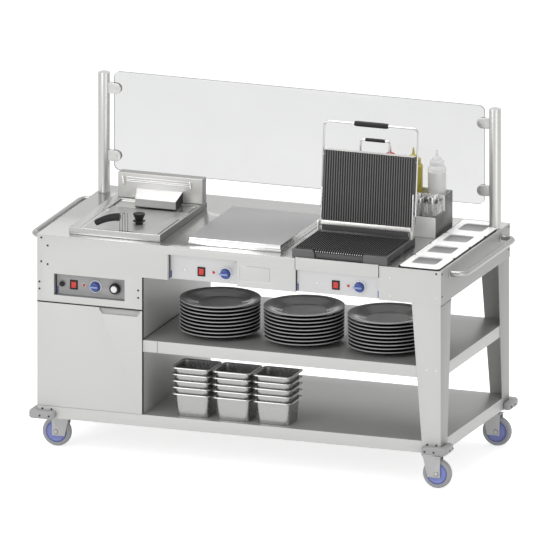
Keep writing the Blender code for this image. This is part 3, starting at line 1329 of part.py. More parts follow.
def build_rack():
    """Build the stepped sauce rack with its two tiers."""
    left = RACK_RIGHT - RACK_LENGTH
    step_y = RACK_FRONT + RACK_FRONT_DEPTH
    rear = step_y + RACK_REAR_DEPTH
    rack = box("sauce_rack", (left, RACK_FRONT, SEAT), (RACK_RIGHT, step_y + SHEET,
                                                        WORK_HEIGHT + RACK_FRONT_HEIGHT),
               "satin_steel")
    tall = box("rack_tall", (left, step_y, SEAT), (RACK_RIGHT, rear,
                                                   WORK_HEIGHT + RACK_REAR_HEIGHT))
    low_room = box("rack_low_room", (left + SHEET, RACK_FRONT + SHEET,
                                     WORK_HEIGHT + RACK_FRONT_FLOOR),
                   (RACK_RIGHT - SHEET, step_y - SHEET / 2,
                    WORK_HEIGHT + RACK_REAR_HEIGHT + OVERRUN))
    high_room = box("rack_high_room", (left + SHEET, step_y + SHEET,
                                       WORK_HEIGHT + RACK_REAR_FLOOR),
                    (RACK_RIGHT - SHEET, rear - SHEET, WORK_HEIGHT + RACK_REAR_HEIGHT + OVERRUN))
    join(rack, tall)
    cut(rack, low_room, high_room)
    hole_y = step_y + RACK_REAR_DEPTH / 2
    hole_z = WORK_HEIGHT + RACK_REAR_HEIGHT - RACK_HOLE_FROM_TOP
    cut(rack, cylinder("rack_hole", RACK_HOLE_RADIUS, (RACK_RIGHT - OVERRUN, hole_y, hole_z),
                       (RACK_RIGHT + OVERRUN, hole_y, hole_z), steps=12))


def build_bottles():
    """Build the squeeze bottles that stand in the rack's rear tier."""
    crown = BOTTLE_BODY + BOTTLE_SHOULDER + BOTTLE_CAP
    top = crown + BOTTLE_CROWN
    profile = [(0.0, top + NOZZLE_LENGTH), (NOZZLE_TIP_RADIUS, top + NOZZLE_LENGTH),
               (NOZZLE_BASE_RADIUS, top), (BOTTLE_CROWN_RADIUS, top - BOTTLE_SHOULDER / 2),
               (BOTTLE_CROWN_RADIUS, crown), (BOTTLE_NECK_RADIUS, crown - BOTTLE_SHOULDER / 4),
               (BOTTLE_NECK_RADIUS, BOTTLE_BODY + BOTTLE_SHOULDER), (BOTTLE_RADIUS, BOTTLE_BODY),
               (BOTTLE_RADIUS, BOTTLE_SHOULDER / 2), (BOTTLE_RADIUS - BOTTLE_SHOULDER / 2, 0.0),
               (0.0, 0.0)]
    y = RACK_FRONT + RACK_FRONT_DEPTH + RACK_REAR_DEPTH / 2
    z = WORK_HEIGHT + RACK_REAR_FLOOR + TOUCH_GAP
    finishes = {"bottle_clear": "clear_plastic", "bottle_yellow": "yellow_plastic",
                "bottle_red": "red_plastic"}
    for index, (name, finish) in enumerate(finishes.items()):
        x = RACK_RIGHT - BOTTLE_FROM_RIGHT - index * BOTTLE_PITCH
        turned(name, profile, Matrix.Translation((x, y, z)), finish)


def build_ingredient_tray():
    """Build the ingredient tray with its row of shallow wells and the notch for the post."""
    right = TRAY_LEFT + TRAY_LENGTH
    rear = TRAY_FRONT + TRAY_COUNT * TRAY_PITCH + TRAY_TAIL
    top = SEAT + TRAY_RISE
    half_x = TRAY_LENGTH / 2
    half_y = (rear - TRAY_FRONT) / 2
    place = Matrix.Translation((TRAY_LEFT + half_x, TRAY_FRONT + half_y, SEAT + TRAY_RISE / 2))
    tray = outline_slab("ingredient_tray", rounded_rectangle(half_x, half_y, TRAY_CORNER),
                        TRAY_RISE, place, "white_plastic")
    cut(tray, box("tray_notch", (right - TRAY_NOTCH_LENGTH, rear - TRAY_NOTCH_DEPTH,
                                 SEAT - OVERRUN), (right + OVERRUN, rear + OVERRUN, top + OVERRUN)))
    for index in range(TRAY_COUNT):
        x = TRAY_LEFT + half_x
        y = TRAY_FRONT + (index + 0.5) * TRAY_PITCH + TRAY_TAIL / 2
        cut(tray, box(f"tray_well_{index}",
                      (x - WELL_LENGTH / 2, y - WELL_DEPTH / 2, top - WELL_SINK),
                      (x + WELL_LENGTH / 2, y + WELL_DEPTH / 2, top + OVERRUN)))


def build_dish_stacks():
    """Build the stacks of plates on the middle shelf."""
    low = MID_SHELF_TOP + TOUCH_GAP
    top = DISH_FOOT_HEIGHT + DISH_EDGE + (DISH_COUNT - 1) * DISH_PITCH
    profile = [(0.0, top - DISH_WELL_DEPTH), (DISH_WELL_RADIUS, top - DISH_WELL_DEPTH),
               (DISH_RADIUS - DISH_EDGE, top)]
    for index in range(DISH_COUNT):
        level = top - index * DISH_PITCH
        profile.append((DISH_RADIUS, level - DISH_EDGE / 2))
        if index < DISH_COUNT - 1:
            profile.append((DISH_RADIUS - DISH_GROOVE, level - DISH_PITCH * 0.75))
    profile += [(DISH_FOOT_RADIUS + DISH_EDGE, DISH_FOOT_HEIGHT / 4), (DISH_FOOT_RADIUS, 0.0),
                (0.0, 0.0)]
    for index in range(3):
        x = DISH_FIRST_X + index * DISH_STACK_PITCH
        turned(f"dish_stack_{index + 1}", profile, Matrix.Translation((x, DISH_Y, low)),
               "slate_ceramic", DISH_STEPS)


def build_pan_stacks():
    """Build the stacks of nested pans on the bottom shelf."""
    low = BOTTOM_SHELF_TOP + TOUCH_GAP
    half_x = PAN_LENGTH / 2
    half_y = PAN_WIDTH / 2
    body_x = half_x - PAN_RIM
    body_y = half_y - PAN_RIM
    first_rim = low + PAN_HEIGHT - PAN_RIM_HEIGHT
    sections = [(body_x - PAN_TAPER, body_y - PAN_TAPER, PAN_CORNER, low),
                (body_x, body_y, PAN_CORNER, first_rim)]
    for index in range(PAN_COUNT):
        rim = first_rim + index * PAN_PITCH
        sections.append((half_x, half_y, PAN_CORNER, rim + SHEET / 4))
        sections.append((half_x, half_y, PAN_CORNER, rim + PAN_RIM_HEIGHT))
        if index < PAN_COUNT - 1:
            sections.append((body_x, body_y, PAN_CORNER, rim + PAN_RIM_HEIGHT + SHEET / 4))
            sections.append((body_x, body_y, PAN_CORNER, rim + PAN_PITCH))
    mouth = first_rim + (PAN_COUNT - 1) * PAN_PITCH + PAN_RIM_HEIGHT
    sections.append((body_x - PAN_WALL, body_y - PAN_WALL, PAN_CORNER, mouth - SHEET / 4))
    sections.append((body_x - PAN_TAPER - PAN_WALL, body_y - PAN_TAPER - PAN_WALL, PAN_CORNER,
                     mouth - PAN_HEIGHT + PAN_WALL))
    for index in range(3):
        centre = (PAN_FIRST_X + half_x + index * PAN_STACK_PITCH, PAN_FRONT + half_y)
        lofted(f"pan_stack_{index + 1}", sections, centre, "polished_steel")


def main():
    """Build every sub-part of the trolley."""
    build_worktop()
    build_apron()
    build_leg("leg_front_right", -1)
    build_leg("leg_rear_right", 1)
    build_shelves()
    build_cupboard()
    for place in caster_places():
        build_caster(*place)
    for name, side_x, side_y in (("front_right", 1, -1), ("rear_right", 1, 1),
                                 ("front_left", -1, -1), ("rear_left", -1, 1)):
        build_bumper(f"bumper_{name}", side_x, side_y)
    build_handle("push_handle_left", -1)
    build_handle("push_handle_right", 1)
    build_screen()
    build_controls()
    build_grease_drawer()
    build_fryer()
    build_hot_plate()
    build_grill_base()
    build_drip_tray()
    build_lower_plate()
    build_grill_lid()
    build_rack()
    build_bottles()
    build_ingredient_tray()
    build_dish_stacks()
    build_pan_stacks()
    bpy.context.view_layer.update()


main()
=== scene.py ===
"""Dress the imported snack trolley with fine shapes, finishes, studio light and a camera.

Lengths are metres in the model's own frame: +X towards the open end of the shelves,
-Y towards the operator and the controls, +Z up, the floor at Z = 0.
"""
import json
import logging
import math
from contextlib import contextmanager
from dataclasses import dataclass
from enum import Enum
from typing import Any, Callable, Iterable, Iterator, Optional, Sequence

import bpy
from mathutils import Matrix, Vector

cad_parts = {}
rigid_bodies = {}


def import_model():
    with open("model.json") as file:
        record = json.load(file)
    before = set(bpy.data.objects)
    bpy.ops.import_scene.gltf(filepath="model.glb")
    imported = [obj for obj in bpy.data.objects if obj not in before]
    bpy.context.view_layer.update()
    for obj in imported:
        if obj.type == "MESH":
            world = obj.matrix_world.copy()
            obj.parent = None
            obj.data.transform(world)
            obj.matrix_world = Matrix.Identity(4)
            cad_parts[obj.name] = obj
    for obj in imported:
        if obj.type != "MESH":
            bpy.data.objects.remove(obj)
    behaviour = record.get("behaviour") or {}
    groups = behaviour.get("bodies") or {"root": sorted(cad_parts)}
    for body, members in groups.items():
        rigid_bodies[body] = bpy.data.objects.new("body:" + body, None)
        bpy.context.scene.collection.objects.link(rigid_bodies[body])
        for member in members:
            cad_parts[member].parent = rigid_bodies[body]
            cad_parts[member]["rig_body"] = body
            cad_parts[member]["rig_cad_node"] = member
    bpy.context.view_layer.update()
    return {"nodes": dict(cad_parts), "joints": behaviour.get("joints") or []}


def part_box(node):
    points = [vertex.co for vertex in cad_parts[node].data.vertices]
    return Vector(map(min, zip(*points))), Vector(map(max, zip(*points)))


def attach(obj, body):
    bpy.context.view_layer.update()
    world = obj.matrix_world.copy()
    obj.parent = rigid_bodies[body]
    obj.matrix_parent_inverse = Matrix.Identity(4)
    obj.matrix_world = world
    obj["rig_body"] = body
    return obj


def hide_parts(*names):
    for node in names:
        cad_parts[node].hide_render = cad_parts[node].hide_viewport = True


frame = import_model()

LOG = logging.getLogger("snack_trolley")

Point = Sequence[float]
Pair = tuple[float, float]
Pairs = Sequence[Pair]
TOWARDS_FRONT = Matrix.Rotation(math.radians(90), 4, "X")
TOWARDS_RIGHT = Matrix.Rotation(math.radians(90), 4, "Z") @ TOWARDS_FRONT
WELD = 0.000005
FINE = 64
SMOOTH = 56


class Signal:
    """A shader socket that can stand in arithmetic."""

    def __init__(self, paint: "Paint", socket: Any) -> None:
        """Wrap one output socket of a paint's node tree."""
        self.paint = paint
        self.socket = socket

    def maths(self, operation: str, other: Any = 0.0) -> "Signal":
        """Return the result of a Math node on the signal and a number or Signal."""
        return self.paint.signal("ShaderNodeMath", {"operation": operation}, {0: self, 1: other})

    def __add__(self, other: Any) -> "Signal":
        """Return self + other."""
        return self.maths("ADD", other)

    def __sub__(self, other: Any) -> "Signal":
        """Return self - other."""
        return self.maths("SUBTRACT", other)

    def __mul__(self, other: Any) -> "Signal":
        """Return self * other."""
        return self.maths("MULTIPLY", other)

    def __truediv__(self, other: Any) -> "Signal":
        """Return self / other."""
        return self.maths("DIVIDE", other)


class Paint:
    """One material's node tree, built node by node."""

    def __init__(self, name: str) -> None:
        """Start an empty Principled material."""
        self.material = bpy.data.materials.new(name)
        self.material.use_nodes = True
        self.tree = self.material.node_tree
        self.shader = self.tree.nodes["Principled BSDF"]

    def feed(self, socket: Any, value: Any) -> None:
        """Link a Signal to a socket, or set the socket's own value."""
        if isinstance(value, Signal):
            self.tree.links.new(value.socket, socket)
        else:
            socket.default_value = value

    def signal(self, kind: str, settings: dict[str, Any], inputs: dict[Any, Any],
               output: Any = 0) -> Signal:
        """Add a node.

        Args:
            kind: The node's type.
            settings: Properties that are set first.
            inputs: Values or Signals by socket name or index.
            output: The output that is wanted, by name or index.

        Returns:
            That output as a Signal.
        """
        node = self.tree.nodes.new(kind)
        for key, value in settings.items():
            setattr(node, key, value)
        for key, value in inputs.items():
            self.feed(node.inputs[key], value)
        return Signal(self, node.outputs[output])

    def place(self) -> Signal:
        """Return Object coordinates."""
        return self.signal("ShaderNodeTexCoord", {}, {}, "Object")

    def noise(self, scale: float, stretch: Point = (1.0, 1.0, 1.0), detail: float = 3.0) -> Signal:
        """Return soft noise in Object coordinates, from 0 to 1."""
        spot = self.signal("ShaderNodeMapping", {}, {"Vector": self.place(), "Scale": stretch})
        return self.signal("ShaderNodeTexNoise", {},
                           {"Vector": spot, "Scale": scale, "Detail": detail})

    def tint(self, factor: Signal, low: Point, high: Point) -> Signal:
        """Return a colour between two colours."""
        return self.signal("ShaderNodeMix", {"data_type": "RGBA"},
                           {0: factor, 6: (*low, 1.0), 7: (*high, 1.0)}, 2)

    def relief(self, height: Signal, depth: float, strength: float) -> None:
        """Feed a height in 0..1 through a Bump node to the shader's normal."""
        bump = self.signal("ShaderNodeBump", {}, {"Strength": strength, "Distance": depth,
                                                  "Height": height})
        self.feed(self.shader.inputs["Normal"], bump)

    def base(self, **values: Any) -> None:
        """Set or link the shader's sockets; underscores stand for spaces."""
        for key, value in values.items():
            if isinstance(value, tuple):
                value = (*value, 1.0)
            self.feed(self.shader.inputs[key.replace("_", " ")], value)


@dataclass(frozen=True)
class Finish:
    """A named colour, which each kind of finish turns into a material."""

    name: str
    colour: Point

    def tones(self, paint: Paint, factor: Signal, dark: float, light: float) -> Signal:
        """Return a colour between two shades of the finish's own colour.

        Args:
            paint: The material's node tree.
            factor: 0 for the first shade and 1 for the second.
            dark: The first shade's share of the colour.
            light: The second shade's share of the colour.

        Returns:
            The colour.
        """
        low, high = (tuple(min(1.0, part * share) for part in self.colour)
                     for share in (dark, light))
        return paint.tint(factor, low, high)


class Grain(Enum):
    """The direction in which a metal was brushed, as stretches of the noise."""

    LENGTH = (0.03, 1.0, 1.0)
    DEPTH = (1.0, 0.03, 1.0)
    HEIGHT = (1.0, 1.0, 0.03)
    NONE = (1.0, 1.0, 1.0)


@dataclass(frozen=True)
class Steel(Finish):
    """Brushed or satin sheet metal with fine lines and faint handling marks."""

    rough: float = 0.38
    metallic: float = 0.75
    grain: Grain = Grain.LENGTH
    line_scale: float = 900.0
    contrast: float = 0.05
    cloud_scale: float = 3.5
    depth: float = 0.00006

    def make(self) -> Any:
        """Build the material.

        Returns:
            The material.
        """
        paint = Paint(self.name)
        lines = paint.noise(self.line_scale, self.grain.value, 4.0)
        clouds = paint.noise(self.cloud_scale)
        paint.base(Base_Color=self.tones(paint, lines * 0.7 + clouds * 0.3, 1 - self.contrast,
                                         1 + self.contrast),
                   Roughness=lines * 0.12 + clouds * 0.05 + (self.rough - 0.085),
                   Metallic=self.metallic)
        paint.relief(lines, self.depth, 0.35)
        return paint.material


@dataclass(frozen=True)
class Moulded(Finish):
    """Moulded plastic or rubber with a fine surface grain."""

    rough: float = 0.42
    grain_scale: float = 1400.0
    depth: float = 0.00005
    contrast: float = 0.06
    coat: float = 0.0
    specular: float = 0.5
    cloud_scale: float = 14.0

    def make(self) -> Any:
        """Build the material.

        Returns:
            The material.
        """
        paint = Paint(self.name)
        fine = paint.noise(self.grain_scale)
        broad = paint.noise(self.cloud_scale)
        paint.base(Base_Color=self.tones(paint, broad, 1 - self.contrast, 1 + self.contrast),
                   Roughness=fine * 0.1 + broad * 0.04 + (self.rough - 0.07),
                   Coat_Weight=self.coat, Specular_IOR_Level=self.specular)
        paint.relief(fine, self.depth, 0.5)
        return paint.material


@dataclass(frozen=True)
class Iron(Finish):
    """Cast cooking iron: seasoned and slightly pitted."""

    rough: float
    pit_scale: float = 700.0
    stain_scale: float = 9.0
    depth: float = 0.0002
    specular: float = 0.16

    def make(self) -> Any:
        """Build the material.

        Returns:
            The material.
        """
        paint = Paint(self.name)
        pits = paint.noise(self.pit_scale, detail=5.0)
        stain = paint.noise(self.stain_scale, detail=4.0)
        paint.base(Base_Color=self.tones(paint, pits * 0.4 + stain * 0.6, 0.8, 1.2),
                   Roughness=stain * 0.15 + (self.rough - 0.07), Specular_IOR_Level=self.specular)
        paint.relief(pits * 0.15, self.depth, 0.6)
        return paint.material


@dataclass(frozen=True)
class Glazed(Finish):
    """Semi-matt glazed crockery, slightly clouded and speckled."""

    rough: float = 0.16
    coat: float = 0.2
    speck_scale: float = 260.0
    cloud_scale: float = 11.0
    depth: float = 0.00001

    def make(self) -> Any:
        """Build the material.

        Returns:
            The material.
        """
        paint = Paint(self.name)
        speck = paint.noise(self.speck_scale)
        cloud = paint.noise(self.cloud_scale)
        paint.base(Base_Color=self.tones(paint, cloud * 0.6 + speck * 0.4, 0.85, 1.2),
                   Roughness=cloud * 0.08 + self.rough, Coat_Weight=self.coat,
                   Specular_IOR_Level=0.5)
        paint.relief(speck, self.depth, 0.2)
        return paint.material


@dataclass(frozen=True)
class Clear(Finish):
    """Clear sheet or bottle plastic: mostly see-through with a soft gloss."""

    alpha: float
    rough: float
    smear_scale: float = 5.0

    def make(self) -> Any:
        """Build the material.

        Returns:
            The material.
        """
        paint = Paint(self.name)
        smear = paint.noise(self.smear_scale, detail=5.0)
        paint.base(Base_Color=self.colour, Roughness=smear * 0.06 + self.rough,
                   Alpha=smear * 0.03 + (self.alpha - 0.015), Specular_IOR_Level=0.6)
        return paint.material


@dataclass(frozen=True)
class Window(Finish):
    """Smoky lid windows, each with painted shade that darkens it towards the rear, where its well
    is deepest.
    """

    start: float
    pitch: float
    rough: float = 0.3
    cloud_scale: float = 24.0

    def make(self) -> Any:
        """Build the material.

        Returns:
            The material.
        """
        paint = Paint(self.name)
        cloud = paint.noise(self.cloud_scale)
        level = paint.signal("ShaderNodeSeparateXYZ", {}, {0: paint.place()}, "Y")
        along = ((level - self.start) / self.pitch).maths("FRACT")
        # Painted shade: each window grows darker towards its rear edge.
        paint.base(Base_Color=self.tones(paint, along * 1.5 - 0.28 + cloud * 0.15, 1.5, 0.5),
                   Roughness=cloud * 0.1 + self.rough, Specular_IOR_Level=0.3)
        return paint.material


@dataclass(frozen=True)
class Foil(Finish):
    """Crumpled glossy film with painted highlights and painted shade along creases that run mostly
    upwards.
    """

    fold_scale: float = 70.0
    fold_stretch: Point = (1.0, 1.0, 0.35)
    depth: float = 0.004

    def make(self) -> Any:
        """Build the material.

        Returns:
            The material.
        """
        paint = Paint(self.name)
        folds = paint.noise(self.fold_scale, self.fold_stretch, 2.0)
        crease = paint.signal("ShaderNodeMapRange", {}, {"Value": folds, "From Min": 0.4,
                                                         "From Max": 0.56})
        # Painted light and shade: the creases are coloured from near-black to pale.
        paint.base(Base_Color=self.tones(paint, crease, 0.12, 1.3),
                   Roughness=folds * 0.2 + 0.1, Metallic=0.35)
        paint.relief(folds, self.depth, 0.9)
        return paint.material


class Look(Enum):
    """Every finish on the trolley."""

    FRONT_STEEL = Steel("front_steel", (0.58, 0.58, 0.57), 0.48, 0.15, Grain.HEIGHT, contrast=0.03)
    # Painted shade inside the door's grip recess.
    RECESS_SHADE = Steel("recess_shade_steel", (0.44, 0.44, 0.435), 0.5, 0.15, Grain.HEIGHT)
    # A darker copy of the front steel: painted shade on faces towards the right end.
    END_SHADE = Steel("end_shade_steel", (0.37, 0.37, 0.365), 0.48, 0.15, Grain.HEIGHT, contrast=0.03)
    TOP_STEEL = Steel("top_steel", (0.55, 0.55, 0.54), 0.19, 0.85)
    # Darker deck steel: partly painted shade under the worktop.
    SHELF_STEEL = Steel("shelf_steel", (0.42, 0.42, 0.415), 0.4, 0.45)
    CUPBOARD_STEEL = Steel("cupboard_steel", (0.48, 0.48, 0.475), 0.42, 0.4, Grain.HEIGHT)
    PANEL_STEEL = Steel("panel_steel", (0.56, 0.56, 0.56), 0.42, 0.3)
    PANEL_DARK = Steel("deep_panel_steel", (0.3, 0.3, 0.3), 0.42, 0.3)
    UNIT_STEEL = Steel("unit_steel", (0.46, 0.46, 0.45), 0.24, 0.85)
    LID_STEEL = Steel("lid_steel", (0.42, 0.42, 0.415), 0.34, 0.7)
    PLATE_STEEL = Steel("hot_plate_steel", (0.36, 0.36, 0.36), 0.34, 0.85, Grain.DEPTH)
    HEAD_STEEL = Steel("head_steel", (0.52, 0.515, 0.5), 0.38, 0.4)
    POST_STEEL = Steel("post_steel", (0.52, 0.52, 0.51), 0.3, 0.7, Grain.HEIGHT)
    BAR_GREY = Steel("handle_steel", (0.36, 0.36, 0.355), 0.26, 0.8, Grain.DEPTH)
    # Bright steel for wires and beads; on the hot plate's sides it is a painted reflection.
    BRIGHT = Steel("bright_steel_and_reflection", (0.8, 0.8, 0.8), 0.14, 1.0, Grain.NONE, 300.0, 0.02)
    CHROME = Steel("chrome_loop", (0.5, 0.5, 0.5), 0.1, 1.0, Grain.NONE, 300.0, 0.02)
    PAN_STEEL = Steel("pan_steel", (0.34, 0.34, 0.335), 0.26, 0.85, Grain.NONE, 220.0, 0.05)
    # A painted glint for the guard's top.
    MIRROR = Steel("painted_guard_glint", (0.92, 0.92, 0.92), 0.2, 0.6, Grain.NONE, 30.0, 0.04)
    COVER_STEEL = Steel("cover_sheet", (0.66, 0.66, 0.65), 0.16, 0.9, Grain.NONE, 30.0, 0.06)
    # Head top, head side and guard front are darker copies of the head's steel: painted shade by
    # direction.
    HEAD_TOP = Steel("head_top", (0.34, 0.34, 0.33), 0.4, 0.5)
    HEAD_SIDE = Steel("head_side", (0.24, 0.24, 0.235), 0.45, 0.2, Grain.HEIGHT)
    GUARD_FRONT = Steel("guard_front", (0.34, 0.34, 0.335), 0.36, 0.4, contrast=0.12)
    # A dark grey: painted shade on right-hand sides and in a seam; it also colours the caster
    # washers.
    SHADE_AND_WASHER_GREY = Steel("painted_shade_and_washer_grey", (0.125, 0.125, 0.12), 0.42, 0.3, Grain.HEIGHT)
    WIRE = Steel("basket_wire", (0.2, 0.2, 0.2), 0.16, 0.95, Grain.NONE, 300.0, 0.05)
    ZINC = Steel("caster_zinc", (0.46, 0.46, 0.46), 0.42, 0.4, Grain.NONE, 260.0, 0.06)
    RACK_STEEL = Steel("rack_steel", (0.8, 0.8, 0.79), 0.36, 0.3)
    GRILL_STEEL = Steel("grill_body", (0.082, 0.082, 0.082), 0.55, 0.2)
    # A lighter copy of the grill body for its front faces: painted light.
    WING_STEEL = Steel("grill_front", (0.105, 0.105, 0.105), 0.5, 0.2)
    BAR_STEEL = Steel("bar_steel", (0.7, 0.69, 0.67), 0.28, 0.6)
    IRON = Iron("ribbed_iron", (0.17, 0.17, 0.17), 0.6)
    # The groove, crest and valley irons are one iron lit and shaded: painted shade in grooves and
    # valleys, painted light on crests.
    IRON_DARK = Iron("groove_iron", (0.048, 0.048, 0.048), 0.7)
    IRON_CREST = Iron("crest_iron", (0.062, 0.062, 0.062), 0.62)
    IRON_VALLEY = Iron("valley_iron", (0.012, 0.012, 0.012), 0.8)
    IRON_PLAIN = Iron("smooth_iron", (0.072, 0.072, 0.072), 0.62)
    BLACK = Moulded("black_grip", (0.014, 0.014, 0.014), 0.45, specular=0.22)
    SCREW = Moulded("screw_black", (0.02, 0.02, 0.02), 0.35)
    BLUE = Moulded("knob_blue", (0.03, 0.065, 0.27), 0.35, coat=0.15)
    BLUE_TRIM = Moulded("panel_blue", (0.05, 0.09, 0.38), 0.4)
    WHITE = Moulded("dial_white", (0.82, 0.82, 0.83), 0.35)
    POINTER = Moulded("pointer_blue", (0.3, 0.36, 0.62), 0.35)
    SHADOW = Moulded("shadow_gap", (0.03, 0.03, 0.03), 0.7, specular=0.1)
    LID_WHITE = Moulded("lid_white", (0.98, 0.98, 0.975), 0.3, 60.0, 0.00003, 0.01, 0.2)
    WELL_GREY = Window("well_grey", (0.25, 0.25, 0.255), -0.3925, 0.187)
    LENS = Moulded("red_lens", (0.44, 0.055, 0.055), 0.3, 90.0, 0.0001, 0.1, 0.3)
    TYRE = Moulded("tyre_grey", (0.37, 0.37, 0.385), 0.62, 900.0, 0.0001, 0.08)
    HUB = Moulded("hub_blue", (0.235, 0.275, 0.6), 0.4, 500.0, 0.00006, 0.08)
    HUB_RING = Moulded("hub_ring", (0.12, 0.145, 0.36), 0.4)
    BUMPER = Moulded("bumper_grey", (0.36, 0.36, 0.365), 0.5, 700.0, 0.00012, 0.08)
    MUSTARD = Moulded("mustard", (0.42, 0.35, 0.035), 0.32, 90.0, 0.00004, 0.12, 0.25)
    KETCHUP = Moulded("ketchup", (0.42, 0.02, 0.025), 0.32, 90.0, 0.00004, 0.12, 0.25)
    CLEAR_BOTTLE = Clear("clear_bottle", (0.62, 0.62, 0.62), 0.3, 0.16)
    PALE_SAUCE = Moulded("pale_sauce", (0.95, 0.95, 0.94), 0.4, 60.0, 0.00004, 0.05)
    CROCKERY = Glazed("slate_glaze", (0.25, 0.25, 0.253))
    # A paler glaze for the rims' edges: painted highlight.
    CROCKERY_RIM_HIGHLIGHT = Glazed("painted_rim_highlight", (0.4, 0.4, 0.404))
    # Dark unglazed slate for undersides, also painted shade between stacked plates.
    CROCKERY_UNDERSIDE_AND_SHADE = Moulded("unglazed_slate_and_stack_shade", (0.03, 0.03, 0.03), 0.8, specular=0.1)
    GLASS = Clear("screen_glass", (0.1, 0.11, 0.11), 0.2, 0.03)
    GLASS_EDGE = Clear("glass_edge", (0.03, 0.035, 0.035), 0.92, 0.3)
    SACHET = Foil("sachet_foil", (0.74, 0.74, 0.74))

    def material(self) -> Any:
        """Return this finish's material, made at its first use."""
        found = bpy.data.materials.get(self.value.name)
        return found or self.value.make()


def deselect() -> None:
    """Leave edit mode and deselect everything."""
    if bpy.context.object and bpy.context.object.mode != "OBJECT":
        bpy.ops.object.mode_set(mode="OBJECT")
    bpy.ops.object.select_all(action="DESELECT")


def select_only(obj: Any) -> None:
    """Make an object the only selected and the active one."""
    deselect()
    obj.select_set(True)
    bpy.context.view_layer.objects.active = obj


def settle(name: str) -> Any:
    """Name the active object and move its place into its mesh.

    Args:
        name: The piece's name.

    Returns:
        The object, at the origin.
    """
    obj = bpy.context.object
    obj.name = name
    obj.data.name = name
    bpy.ops.object.transform_apply(location=True, rotation=True, scale=True)
    return obj


def apply_modifier(obj: Any, kind: str, **settings: Any) -> Any:
    """Add a modifier and apply it.

    Args:
        obj: The object.
        kind: The modifier's type.
        settings: The modifier's properties.

    Returns:
        The object.
    """
    select_only(obj)
    step = obj.modifiers.new(kind.lower(), kind)
    for key, value in settings.items():
        setattr(step, key, value)
    bpy.ops.object.modifier_apply(modifier=step.name)
    return obj


@contextmanager
def editing() -> Iterator[None]:
    """Hold the active object in edit mode, with all of its mesh selected at the start."""
    bpy.ops.object.mode_set(mode="EDIT")
    bpy.ops.mesh.select_all(action="SELECT")
    yield
    bpy.ops.object.mode_set(mode="OBJECT")


def smooth(obj: Any, angle: float = 35.0) -> Any:
    """Shade smooth but keep sharp edges.

    Args:
        obj: The object.
        angle: Edges sharper than this stay sharp.

    Returns:
        The object.
    """
    select_only(obj)
    bpy.ops.object.shade_smooth_by_angle(angle=math.radians(angle))
    return obj


def soften(obj: Any, edge: float, segments: int = 2, angle: float = 30.0) -> Any:
    """Bevel sharp edges and shade the piece smooth.

    Args:
        obj: The object.
        edge: The bevel's width, or 0 for none.
        segments: The bevel's segments.
        angle: Edges sharper than this are bevelled.

    Returns:
        The object.
    """
    if edge > 0:
        apply_modifier(obj, "BEVEL", width=edge, segments=segments, limit_method="ANGLE",
                       angle_limit=math.radians(angle), harden_normals=False)
    return smooth(obj)


def cut(obj: Any, tool: Any) -> Any:
    """Cut one piece's shape out of another.

    Args:
        obj: The piece that is cut.
        tool: The piece that is cut out of it and then removed.

    Returns:
        The cut object.
    """
    apply_modifier(obj, "BOOLEAN", object=tool, operation="DIFFERENCE", solver="EXACT")
    bpy.data.objects.remove(tool)
    return obj


def facing_front(x: float, y: float, z: float) -> Matrix:
    """Return a frame at a point with its Z axis towards the front."""
    return Matrix.Translation((x, y, z)) @ TOWARDS_FRONT


def facing_right(x: float, y: float, z: float) -> Matrix:
    """Return a frame at a point with its Z axis towards the right end."""
    return Matrix.Translation((x, y, z)) @ TOWARDS_RIGHT


def facing(place: Point, way: Point) -> Matrix:
    """Return a frame at a point with its Z axis along a direction."""
    return Matrix.Translation(place) @ Vector(way).to_track_quat("Z", "Y").to_matrix().to_4x4()


def middle(node: str) -> Vector:
    """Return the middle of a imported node's box."""
    low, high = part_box(node)
    return (low + high) / 2


def block(name: str, low: Point, high: Point, edge: float = 0.0, segments: int = 2) -> Any:
    """Model a box, its edges rounded.

    Args:
        name: The piece's name.
        low: The corner with the lowest coordinates.
        high: The corner with the highest coordinates.
        edge: The bevel's width.
        segments: The bevel's segments.

    Returns:
        The object.
    """
    deselect()
    low_corner, high_corner = Vector(low), Vector(high)
    bpy.ops.mesh.primitive_cube_add(size=1.0, location=(low_corner + high_corner) / 2,
                                    scale=high_corner - low_corner)
    return soften(settle(name), edge, segments)


def rod(name: str, start: Point, end: Point, radius: float, edge: float = 0.0,
        sides: int = 32) -> Any:
    """Model a round bar between two points, its rims rounded.

    Args:
        name: The piece's name.
        start: The middle of one end.
        end: The middle of the other end.
        radius: The bar's radius.
        edge: The bevel's width.
        sides: The number of sides.

    Returns:
        The object.
    """
    deselect()
    first, last = Vector(start), Vector(end)
    along = last - first
    bpy.ops.mesh.primitive_cone_add(vertices=sides, radius1=radius, radius2=radius,
                                    depth=along.length, location=(first + last) / 2,
                                    rotation=along.to_track_quat("Z", "Y").to_euler())
    return soften(settle(name), edge)


def outline(name: str, points: Pairs, thickness: float, place: Matrix,
            edge: float = 0.0, segments: int = 2) -> Any:
    """Model a flat outline and extrude it.

    Args:
        name: The piece's name.
        points: The outline in the place's XY plane.
        thickness: How far it is extruded along the place's Z, half each way.
        place: The outline's frame.
        edge: The bevel's width.
        segments: The bevel's segments.

    Returns:
        The object.
    """
    deselect()
    bpy.ops.mesh.primitive_circle_add(vertices=len(points), fill_type="NGON")
    obj = bpy.context.object
    for vertex, (x, y) in zip(obj.data.vertices, points):
        vertex.co = (x, y, -thickness / 2)
    with editing():
        bpy.ops.mesh.extrude_region_move(TRANSFORM_OT_translate={"value": (0, 0, thickness)})
        bpy.ops.mesh.select_all(action="SELECT")
        bpy.ops.mesh.normals_make_consistent(inside=False)
    obj.matrix_world = place
    return soften(settle(name), edge, segments)


